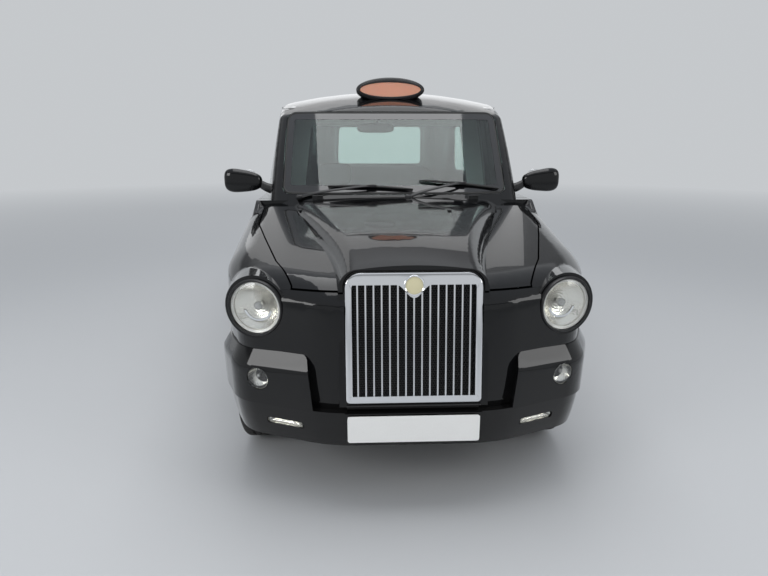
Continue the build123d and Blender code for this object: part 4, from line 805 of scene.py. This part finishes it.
# %% Window outlines, borders and seals
PANE_GAP = 0.0016
SCREEN = ([(-0.655, 1.192), (0.655, 1.192), (0.655, 1.668), (-0.655, 1.668)], [0.045, 0.045, 0.06, 0.06])
BACKLIGHT = ([(-0.47, 1.225), (0.47, 1.225), (0.44, 1.655), (-0.44, 1.655)], [0.07] * 4)
SIDE_WINDOWS = {
    "front_door_glass": ([(1.492, 1.188), (2.212, 1.188), (2.212, 1.64), (1.9, 1.64)],
                         [0.025, 0.03, 0.03, 0.045]),
    "rear_door_glass": ([(2.352, 1.188), (3.15, 1.188), (3.15, 1.64), (2.352, 1.64)], [0.03] * 4),
    "rear_windows": ([(3.3, 1.188), (3.88, 1.188), (3.64, 1.64), (3.3, 1.64)], [0.03, 0.06, 0.12, 0.03]),
}
frit = finish("window_border", (0.006, 0.006, 0.007), 0.12, grain=(400.0, 0.01), dust=(0.15, 0.8),
    Coat_Weight=0.8, Coat_Roughness=0.04)


def lift_middle(piece, rings, amount, direction):
    """Raises the rings of a laid band by amount * sin of their share across it, along direction."""
    rise = amount * np.sin(np.linspace(0, np.pi, rings))[:, None, None]
    return moved(piece, lambda p: p.reshape(rings, -1, 3) + rise * np.asarray(direction, float))


def glazing(name, outline, node, body, axis, towards, place, out, wide):
    """A border and a rubber seal for one pane."""
    loop = evenly(rounded_loop(*outline), 220)
    steps = [(PANE_GAP + wide * k, 0) for k in np.linspace(0, 1, 5)]
    border = lay_on(band(name + "_border", loop, steps, place), node, axis, 0.0004, towards)
    dress(border, frit, body)
    steps = [(PANE_GAP + 0.012 * k, 0) for k in np.linspace(0, 1, 7)]
    seal = lay_on(band(name + "_seal", loop, steps, place), node, axis, 0.0006, towards)
    dress(lift_middle(seal, 7, 0.0042, out), rubber, body)


glazing("windscreen", SCREEN, "windscreen", "root", "Y", 1, fore_and_aft(AHEAD), (0, -0.7, 0.6), 0.048)
glazing("backlight", BACKLIGHT, "rear_windows", "root", "Y", -1, fore_and_aft(ASTERN), (0, 0.9, 0.4), 0.03)
for side, tag in SIDES:
    for name, outline in SIDE_WINDOWS.items():
        node = name if name == "rear_windows" else f"{name}_{tag}"
        glazing(f"{name}_{tag}", outline, node, body_of[node], "X", -side, sideways(side * ABEAM),
            (side, 0, 0.1), 0.022)

# %% [markdown]
# ## Wipers
# Two wipers are parked along the foot of the screen. Each is a spindle cap, a flat arm and a thin blade
# on a carrier. The arms follow smooth paths through places read off the photograph and put on the glass.

# %% Wiper arms and blades


def screen_point(x, z, lift):
    """A point lift metres in front of the windscreen's outer face, found on its smooth copy."""
    place, normal = struck("windscreen", (x, AHEAD, z), (0, 1, 0))
    return place + normal * lift


def flat_bar(width, thick):
    """The section of a flat bar with rounded shoulders."""
    w, h = width / 2, thick / 2
    return [(-w, -h * 0.4), (-w, h * 0.4), (-w * 0.6, h), (w * 0.6, h), (w, h * 0.4), (w, -h * 0.4),
        (w * 0.6, -h), (-w * 0.6, -h)]


WIPERS = (("wiper_driver", (-0.545, 1.17), (-0.385, 0.1), (1.232, 1.214)),
    ("wiper_nearside", (0.07, 1.172), (0.14, 0.605), (1.262, 1.212)))
for name, (px, pz), (x0, x1), (z0, z1) in WIPERS:
    ends = [screen_point(x, z, 0.014)
            for x, z in ((x0, z0), ((x0 + x1) / 2, (z0 + z1) / 2 + 0.006), (x1, z1))]
    blade = curve_through(ends, 40)
    taper = 1 - 0.6 * np.abs(np.linspace(-1, 1, 40)) ** 4
    dress(sweep(name + "_blade", blade, flat_bar(0.014, 0.012), up=(0, -0.7, 0.7), scale=taper), rubber)
    lip = blade + np.array([0, 0.009, -0.002])
    dress(sweep(name + "_lip", lip, flat_bar(0.003, 0.01), up=(0, -0.7, 0.7)), rubber)
    pivot = screen_point(px, 1.205, 0.016) + np.array([0, -0.035, pz - 1.205])
    knee = pivot * 0.72 + blade[20] * 0.28 + np.array([0, -0.014, 0.012])
    arm = curve_through([pivot, knee, blade[20] * 0.8 + pivot * 0.2 + np.array([0, -0.016, 0.01]),
        blade[20] + np.array([0, -0.01, 0.004])], 36)
    dress(sweep(name + "_arm", arm, flat_bar(0.017, 0.007), up=(0, -0.7, 0.7),
        scale=np.linspace(1.25, 0.62, 36)), satin)
    dress(pebble(name + "_cap", pivot, (0.019, 0.017, 0.014), 0.7, 16), satin)
    dress(pebble(name + "_clip", blade[20] + np.array([0, -0.008, 0.003]), (0.03, 0.008, 0.009), 0.5, 14),
        satin)

# %% [markdown]
# ## Door mirrors
# Each mirror is a rounded block whose height and depth shrink towards a short foot on the door. The
# mirror glass fills its back face.

# %% Door mirrors
MIRROR_FOOT = mm((840, 14), (805, 26), (772, 44), (738, 56))
for side, tag in SIDES:
    low, high = corners(f"mirror_{tag}")
    outside = side * max(abs(low[0]), abs(high[0]))
    half = np.array([0.112, 0.052, (high[2] - low[2]) / 2 - 0.002])
    centre = np.array([outside - side * (half[0] + 0.001), (low[1] + high[1]) / 2,
        (low[2] + high[2]) / 2 + 0.001])

    def fish(points, ball, side=side):
        """Shrinks the shell towards the foot, where depth is 0.7 and height is 0.6 of the full size."""
        share = np.clip((ball[..., :1] * side + 1) / 2, 0, 1)
        squeeze = np.concatenate([np.ones_like(share), 0.7 + 0.3 * share, 0.6 + 0.4 * share ** 0.8], -1)
        back = points[..., 1:2]
        back = np.where(back > 0.03, 0.03 + (back - 0.03) * 0.15, back)
        block = np.concatenate([points[..., :1], back, points[..., 2:]], -1)
        return block * squeeze - np.array([0, 0, 0.012]) * (1 - share)
    shell = pebble(f"mirror_shell_{tag}", centre, half, 0.62, 40, fish)
    dress(shell, paint, f"front_door_{tag}", stands_for=[f"mirror_{tag}"])
    foot = curve_through([(side * x, centre[1] + 0.004, centre[2] - drop) for x, drop in MIRROR_FOOT], 24)
    dress(sweep(f"mirror_foot_{tag}", foot, round_profile(0.019, 24, 1.2), up=(0, 0, 1),
        scale=np.linspace(0.85, 1.3, 24)), satin, f"front_door_{tag}")
    pane = pebble(f"mirror_glass_{tag}", centre + (side * 0.012, 0.0325, 0.0),
        (0.084, 0.0025, half[2] - 0.022), 0.5, 20)
    dress(pane, chrome, f"front_door_{tag}")

# %% [markdown]
# ## Tyres and wheel centres
# A tyre is one closed ring, whose section is a smooth curve from bead to bead. The tread has three zigzag
# grooves and short slots through the shoulders, worked out over a grid of angle and distance across.

# %% Treaded tyres, wheel nuts and hub caps
TYRE_R, TRACK, AXLES = 0.342, 1.41, {"front": 0.79, "rear": 3.676}
PITCHES, TREAD_DEPTH = 56, 0.008
SIDEWALL = mm((204.5, 62.5), (219, 62.8), (234, 76.5), (254, 84.6), (266, 86.8), (269, 87.8), (296, 88.4),
    (299, 87), (310, 86.2), (322, 82.5), (333, 75), (339.5, 65), (341.2, 56))


def tyre_grid():
    """Offsets and radii of a tyre over angle t and section v: the radius is the section's, less TREAD_DEPTH
    times the deepest of the grooves and slots. A groove follows v = c + 2.4 mm * triangle(t). A slot takes
    the first seventh of each pitch, beyond 40 mm from the middle."""
    half = curve_through(SIDEWALL, 30)
    across = np.linspace(0.054, -0.054, 42)
    section = np.vstack([half, grid(0.3414 + 0.0005 * (1 - (across / 0.056) ** 2), across),
        half[::-1] * (1, -1)])
    t = around(PITCHES * 8)[:, None]
    r, v = section[None, :, 0] + 0 * t, section[None, :, 1] + 0 * t
    share = (t / (2 * np.pi) * PITCHES) % 1
    zigzag = 4 * np.abs(share - 0.5) - 1
    groove = sum(np.clip((0.005 - np.abs(v - c - 0.0024 * zigzag)) / 0.0014, 0, 1)
        for c in (-0.029, 0.0, 0.029))
    slot = (share < 0.14) * (np.abs(v) > 0.04) * np.clip((r - 0.324) / 0.012, 0, 1)
    sipe = (np.abs((share + np.sign(v) * 0.25) % 1 - 0.5) < 0.07) * (np.abs(v) < 0.04) * 0.35
    cut = np.where(r > 0.3405, np.maximum(groove, sipe), 0)
    return v, r - TREAD_DEPTH * np.maximum(cut, slot), t


def nut(name, centre, radius, height, side):
    """A hexagon nut along X: flats to a bevelled top, worked out as rings of six."""
    rings = [(1.0, 0.0), (1.0, height * 0.75), (0.82, height * 0.92), (0.4, height * 0.92),
        (0.34, height * 0.8)]
    a = np.radians(60 * np.arange(6))
    points = np.stack([grid(side * x, radius * k * np.cos(a), radius * k * np.sin(a)) for k, x in rings], 0)
    return surface(name, points + np.asarray(centre), False, True, caps=True, smooth=False)


tyre_v, tyre_r, tyre_t = tyre_grid()
for end, s in AXLES.items():
    for side, tag in SIDES:
        body = f"{end}_wheel_{tag}"
        centre = np.array([side * TRACK / 2, y_at(s), TYRE_R])
        ring = grid(side * tyre_v, tyre_r * np.cos(tyre_t), tyre_r * np.sin(tyre_t))
        dress(surface(f"{end}_tread_{tag}", centre + ring, True, True), tyre_rubber, body,
            stands_for=[f"{end}_tyre_{tag}"])
        cap = mm((31.5, 46), (36, 46), (37.5, 53), (36, 62), (30, 70.5), (18, 73.5), (0, 74.5), (0, 72.5),
            (17, 71.5), (28, 68.5), (31.5, 62))
        dress(spin(f"{end}_hub_cap_{tag}", cap, centre, (side, 0, 0), 48), silver, body)
        for k in range(5):
            a = math.radians(72 * k + 18)
            at = centre + (side * 0.0345, 0.081 * math.cos(a), 0.081 * math.sin(a))
            dress(nut(f"{end}_wheel_nut_{tag}_{k + 1}", at, 0.0105, 0.017, side), steel, body)
        stem = [centre + (side * x, 0, -r) for x, r in ((0.046, 0.158), (0.056, 0.162), (0.068, 0.17))]
        dress(sweep(f"{end}_valve_{tag}", curve_through(stem, 10), round_profile(0.0042, 10), up=(0, 1, 0)),
            rubber, body)

# %% [markdown]
# ## Seats
# A padded seat is a rounded block with a crowned face, fuller along its edges and drawn in along its sewn
# channels. One ring of its grid runs round the face where the cover is sewn, and a thin piping follows
# it.

# %% Padded seats


def pad(name, centre, half, up_dir, face_dir, channels, bolster, crown, stands_for=()):
    """A sewn pad: half sizes run across, along up_dir and along face_dir. With a and b from -1 to 1 over it,
    its face gains crown * (1 - a^2)(1 - b^2) + bolster * step(|a| > 0.7) and loses 7 mm in each channel."""
    rows = 44
    u = np.linspace(-np.pi / 2, np.pi / 2, rows)[:, None]
    v = around(128)[None]
    ring = power_of(np.cos(u), 0.42)
    a, b = ring * power_of(np.cos(v), 0.36), ring * power_of(np.sin(v), 0.36)
    c = power_of(np.sin(u), 0.42) + 0 * v
    face = np.clip(c, 0, 1)
    lift = crown * (1 - a ** 2) * (1 - b ** 2) * np.sign(c)
    side_roll = np.clip((np.abs(a) - 0.62) / 0.16, 0, 1)
    lift = lift + face * (bolster * half[2] * side_roll ** 2 * (3 - 2 * side_roll))
    for kind, place in channels:
        line = (a if kind == "across" else b) - place
        size = half[0] if kind == "across" else half[1]
        reach = np.abs(a) < 0.66 if kind == "along" else True
        lift = lift - face * 0.007 * np.exp(-(line * size / 0.006) ** 2) * reach
    pull = 1 - 0.035 * (np.abs(a) * np.abs(b)) ** 2
    across = np.array([1.0, 0.0, 0.0])
    up_dir, face_dir = unit(np.asarray(up_dir, float)), unit(np.asarray(face_dir, float))
    parts = ((across, a * half[0] * pull), (up_dir, b * half[1] * pull), (face_dir, c * half[2] + lift))
    points = np.asarray(centre) + sum(way * size[..., None] for way, size in parts)
    piece = dress(surface(name, points, False, True), cloth, stands_for=stands_for)
    row = int(rows * 0.68)
    dress(sweep(name + "_piping", points[row], round_profile(0.0042, 8), up=face_dir, closed=True), piping)


def leaned(points, _):
    """Leans a block back with the seat."""
    return points + np.array([0, LEAN, 0]) * points[..., 2:]


LEAN, DRIVER_X = 0.105, -0.385
along_back, out_of_back = (0, LEAN, 1), (0, -1, LEAN)
pad("driver_cushion", (DRIVER_X, y_at(2.14), 0.566), (0.228, 0.198, 0.058), (0, 1, 0), (0, 0, 1),
    [("across", -0.6), ("across", 0.6), ("along", -0.35), ("along", 0.25)], 0.2, 0.012,
    stands_for=["driver_seat"])
pad("driver_back", (DRIVER_X, y_at(2.276), 0.9), (0.218, 0.272, 0.04), along_back, out_of_back,
    [("across", -0.6), ("across", 0.6), ("along", -0.45), ("along", 0.0), ("along", 0.45)], 0.3, 0.01)
pad("driver_headrest", (DRIVER_X, y_at(2.292), 1.25), (0.122, 0.078, 0.034), along_back, out_of_back, [], 0.0,
    0.006)
for side, tag in SIDES:
    post = np.array([DRIVER_X + side * 0.055, y_at(2.3), 1.13])
    dress(sweep(f"headrest_post_{tag}", [post, post + (0, 0.004, 0.05), post + (0, 0.008, 0.1)],
                round_profile(0.006, 12)), steel)
dress(pebble("driver_plinth", (DRIVER_X, y_at(2.125), 0.428), (0.19, 0.16, 0.084), 0.16, 28), satin)
dress(pebble("driver_seat_frame", (DRIVER_X, y_at(2.14), 0.518), (0.214, 0.19, 0.014), 0.2, 24), satin)
dress(pebble("driver_back_shell", (DRIVER_X, y_at(2.312), 0.9), (0.205, 0.014, 0.25), 0.22, 28, leaned),
      dash_plastic)

pad("bench_cushion", (0.0, y_at(3.405), 0.69), (0.532, 0.222, 0.058), (0, 1, 0), (0, 0, 1),
    [("across", -0.34), ("across", 0.34), ("along", -0.1)], 0.1, 0.01, stands_for=["passenger_seats"])
pad("bench_back", (0.0, y_at(3.662), 0.985), (0.532, 0.276, 0.04), (0, 0.12, 1.0), (0, -1, 0.12),
    [("across", -0.34), ("across", 0.34), ("along", -0.4), ("along", 0.3)], 0.1, 0.01)
dress(pebble("bench_base", (0.0, y_at(3.52), 0.52), (0.512, 0.092, 0.112), 0.14, 28), dash_plastic)
dress(pebble("bench_rail", (0.0, y_at(3.26), 0.622), (0.512, 0.06, 0.012), 0.18, 20), satin)
for side, tag in SIDES:
    foot = np.array([side * 0.5, y_at(3.21), 0.0])
    dress(sweep(f"bench_leg_{tag}", [foot + (0, 0, z) for z in (0.346, 0.42, 0.54, 0.63)],
        round_profile(0.015, 16), up=(0, 1, 0)), satin)
    middle = side * 0.355
    pad(f"fold_seat_{tag}", (middle, y_at(2.478), 0.65), (0.196, 0.155, 0.026), (0, 0, 1), (0, 1, 0),
        [("along", 0.0)], 0.1, 0.005)
    dress(pebble(f"fold_seat_back_{tag}", (middle, y_at(2.472), 0.872), (0.19, 0.03, 0.06), 0.3, 24),
        dash_plastic)
    dress(pebble(f"fold_seat_shell_{tag}", (middle, y_at(2.444), 0.69), (0.2, 0.01, 0.2), 0.2, 20), satin)

# %% [markdown]
# ## Inside the cab
# The wheel has a moulded pad, the dashboard gets dials and round vents, a mirror hangs at the top of the
# screen, and a pale lining covers the inside of the roof.

# %% Steering wheel pad, dials, vents, mirror and lining
WHEEL_AT = np.array([DRIVER_X, y_at(1.8), 0.985])
column = unit(np.array([0.0, 0.882948, 0.469472]))
rise_dir = np.cross(column, (1.0, 0.0, 0.0))


def on_wheel(points, _):
    """Stands a block modelled flat (across, along, out) on the steering wheel's plane."""
    return points[..., :1] * (1, 0, 0) - points[..., 1:2] * rise_dir + points[..., 2:] * column


dress(pebble("steering_pad", WHEEL_AT - column * 0.002, (0.088, 0.062, 0.02), 0.45, 32, on_wheel),
    dash_plastic, "steering_wheel")
turn = around(96)[:, None]
rim_path = WHEEL_AT + 0.19 * (np.cos(turn) * np.array([1.0, 0, 0]) + np.sin(turn) * rise_dir)
wobble = 1 + 0.035 * np.cos(turn[:, 0] * 24)
dress(sweep("steering_rim", rim_path, round_profile(0.0148, 16), up=column, closed=True, scale=wobble), satin,
    "steering_wheel")
for k, (dx, r) in enumerate(((-0.105, 0.03), (0.0, 0.04), (0.105, 0.03))):
    at = np.array([DRIVER_X + dx, y_at(1.598), 1.084])
    dress(spin(f"dial_{k + 1}", [(r, 0.004), (r, -0.004), (r - 0.003, -0.005), (r - 0.004, 0.001),
        (0.006, 0.001), (0.005, -0.001), (0.0, -0.001)], at, (0, -1, 0.15)), satin)
for k, x in enumerate((-0.64, -0.12, 0.12, 0.62)):
    at = (x, y_at(1.57), 1.0)
    profile = mm((44, -12), (44, 2), (40, 6), (36, 2), (33, -10), (0, -10))
    dress(spin(f"vent_{k + 1}", profile, at, (0, 0.98, 0.2)), satin)
    dress(pebble(f"vent_blade_{k + 1}", at, (0.034, 0.004, 0.003), 0.4, 12), dash_plastic)

mirror_at = np.array([-0.1, y_at(1.775), 1.57])
dress(pebble("cab_mirror_shell", mirror_at, (0.118, 0.014, 0.031), 0.55, 24), satin)
dress(pebble("cab_mirror_glass", mirror_at + (0, 0.0135, 0), (0.11, 0.002, 0.025), 0.45, 16), chrome)
dress(sweep("cab_mirror_stem", curve_through([mirror_at + (0, -0.004, 0.028), mirror_at + (0.02, 0.0, 0.05),
    mirror_at + (0.05, 0.02, 0.074)], 12), round_profile(0.007, 12), up=(1, 0, 0)), satin)

u, v = np.meshgrid(np.linspace(-0.6, 0.6, 60), np.linspace(1.98, 3.7, 80), indexing="ij")
sheet_points = grid(u, y_at(v), 1.3)
lining = lay_on(surface("headlining", sheet_points), "roof", "Z", 0.004, 1)
dress(thicken(lining, 0.003, 1.0), headlining)

# %% [markdown]
# ## Fittings on the outside
# A ray cast onto a panel's smooth copy finds the place of each handle, lamp, gutter, arch edge and jet,
# and the piece is built out from there. The roof sign's black surround leaves the lens a flat oval. A
# moulding leads each wing's crest up to the pillar's foot.

# %% Handles, side lamps, gutters, arch edges, washer jets and the sign's surround


def side_point(panel, s, z, side, lift=0.0):
    """The place on a panel's outer side at s and z, lift metres proud of it."""
    return struck(panel, (side * ABEAM, y_at(s), z), (-side, 0, 0))[0] + (side * lift, 0, 0)


for side, tag in SIDES:
    for end, s0 in (("front", 2.15), ("rear", 3.095)):
        body = f"{end}_door_{tag}"
        marks = mm((-75, 2), (-66, 16), (-40, 25), (0, 27), (40, 25), (66, 16), (75, 2))
        path = curve_through([side_point(body, s0 + d, 1.0, side, lift) for d, lift in marks], 40)
        dress(sweep(f"{end}_handle_{tag}", path, round_profile(0.0105, 14, 0.55), up=(0, 0, 1)), satin, body)
        loop = oblong(s0 - 0.058, s0 + 0.058, 0.976, 1.024, 0.022, 96)
        cup = band(f"{end}_handle_cup_{tag}", loop, [(k * 0.0225 / 6, 0) for k in range(7)],
            sideways(side * ABEAM))
        dress(lay_on(cup, body, "X", 0.0006, -side), satin, body)
        dress(spin(f"{end}_lock_{tag}", mm((0, 4), (8, 4), (10, 2), (10, -4)),
            side_point(body, s0 + 0.045, 0.945, side), (side, 0, 0), 28), chrome, body)
    at = side_point("front_wings", 1.085, 0.8, side, 0.003)
    dress(pebble(f"side_lamp_{tag}", at, (0.007, 0.032, 0.015), 0.6, 20), sign_amber)
    dress(pebble(f"side_lamp_base_{tag}", at - (side * 0.002, 0, 0), (0.004, 0.037, 0.019), 0.5, 20), satin)
    rail = [side_point("side_frames", s, 1.704, side, 0.001) + (0, 0, 0.006)
        for s in np.linspace(2.02, 3.7, 30)]
    dress(sweep(f"gutter_{tag}", rail, mm((-8, -4), (7, -4), (9, 6), (6, 6), (4, 0), (-8, 0)), up=(0, 0, 1),
        scale=np.interp(np.arange(30), (0, 9, 24, 29), (0.12, 1, 1, 0.12))), satin)
    for end, s0, radius, panel in (("front", AXLES["front"], 0.403, "front_wings"),
            ("rear", AXLES["rear"], 0.388, "side_frames")):
        spread = np.radians(np.linspace(24, 156, 60))
        lip = [side_point(panel, s0 - (radius + 0.006) * math.cos(a), TYRE_R + (radius + 0.006) * math.sin(a),
            side, 0.0005) for a in spread]
        dress(sweep(f"{end}_arch_lip_{tag}", lip, flat_bar(0.007, 0.012), up=(side, 0, 0)), rubber)

loop = oblong(3.985, 4.115, 0.88, 1.0, 0.03, 120)
flap = lay_on(band("fuel_flap_gap", loop, mm((0, 0), (1.5, 0), (3, 0)), sideways(ABEAM)),
    "side_frames", "X", 0.0003, -1)
dress(flap, rubber)
for k, (x, s) in enumerate(((-0.53, 1.11), (0.256, 0.908))):
    at = struck("bonnet", (x, y_at(s), 1.5), (0, 0, -1))[0] + (0, 0, 0.002)
    dress(pebble(f"washer_jet_{k + 1}", at, (0.012, 0.016, 0.007), 0.7, 16), satin, "bonnet")


def dropped(points, node):
    """A grid of points let fall onto a CAD node."""
    sheet = lay_on(surface("sheet", points), node, "Z", 0.0, -1)
    places = places_of(sheet).reshape(points.shape)
    bpy.data.objects.remove(sheet)
    return places


def eased(x):
    """A smooth step: 3 x^2 - 2 x^3 of x held between 0 and 1."""
    x = np.clip(x, 0, 1)
    return x * x * (3 - 2 * x)


CREST_START, CREST_EDGE, WING_END, PILLAR_FOOT = 1.2425, 0.035, 1.295, 1.305


def crest_moulding(side):
    """A sheet over the wing: z = wing + (pillar foot - wing) * eased(share of its length) * eased(share of
    35 mm from its inner edge). It is 55 mm long beside the bonnet and 145 mm long at the outside."""
    x, k = np.linspace(0.742, 0.825, 40)[:, None], np.linspace(0, 1, 30)[None]
    start = CREST_START - 0.09 * eased((x - 0.745) / CREST_EDGE)
    s = start + (WING_END - start) * k
    wing = dropped(grid(side * x, y_at(s), 1.3), "front_wings")
    foot = dropped(grid(side * x, y_at(PILLAR_FOOT + 0.002 * k), 1.1655), "side_frames")
    foot = foot[:, -1:, 2]
    rise = np.where((foot > 1.05) & (foot < 1.165), np.maximum(foot - wing[:, -1:, 2], 0), 0)
    wing[..., 2] += rise * eased(k) * eased((x - 0.742) / CREST_EDGE) + 0.0004
    return wing


for side, tag in SIDES:
    dress(thicken(surface(f"wing_crest_{tag}", crest_moulding(side)), 0.003), paint)
low, high = corners("sign_lens")
middle = np.array([0.0, low[1], 1.812])
SURROUND = mm((206, 62, 12), (207, 62.5, 4), (204.5, 59.5, -1.5), (201, 53, -3.5), (197.5, 46.5, -3),
              (196, 44, 0), (196, 44, 4))
wide, high_up, deep = SURROUND.T[..., None]
turn = around(128)[None]
face = grid(wide * np.cos(turn), deep, high_up * np.sin(turn))
dress(surface("sign_surround", middle + face, True, True), satin)

# %% [markdown]
# ## Tail
# Thin ribs split the rear lamps into amber, red and clear parts, each a patch of the lamp's face with
# fine flutes. A handle bar crosses the boot lid, and a high red lamp sits at the top of the rear window.

# %% Rear lamp parts, boot handle and high lamp
amber_lens = finish("amber_lens", (0.62, 0.2, 0.01), 0.12, grain=(200.0, 0.05), dust=(0.2, 1.0),
    Coat_Weight=1.0)
clear_lens = finish("clear_lens", (0.6, 0.6, 0.58), 0.14, grain=(200.0, 0.05), dust=(0.2, 1.0),
    Coat_Weight=1.0)
for side, tag in SIDES:
    for part, z0, z1, lens in (("amber", 0.828, 0.898, amber_lens), ("red", 0.722, 0.822, red_lens),
            ("clear", 0.648, 0.716, clear_lens)):
        x, z = np.meshgrid(np.linspace(0.679, 0.726, 70), np.linspace(z0, z1, 24), indexing="ij")
        patch = surface(f"rear_lamp_{part}_{tag}", grid(side * x, ASTERN, z))
        patch = lay_on(patch, "rear_lamps", "Y", 0.001, -1)
        patch = moved(patch, lambda p: p + grid(0, 0.0004 * np.cos(p[:, 0] * 1500), 0))
        dress(patch, lens)
handle_path = [struck("boot_lid", (x, ASTERN, 0.84), (0, -1, 0))[0]
    + (0, 0.01 - 0.012 * abs(x / 0.24) ** 8, 0) for x in np.linspace(-0.24, 0.24, 32)]
dress(sweep("boot_handle", handle_path, flat_bar(0.03, 0.016), up=(0, -1, 0)), satin, "boot_lid")
dress(sweep("boot_handle_strip", [p + (0, 0.0075, 0.004) for p in handle_path[2:-2]], flat_bar(0.008, 0.004),
    up=(0, -1, 0)), chrome, "boot_lid")
dress(pebble("high_lamp", (0.0, y_at(3.905), 1.622), (0.11, 0.012, 0.013), 0.35, 20), red_lens)
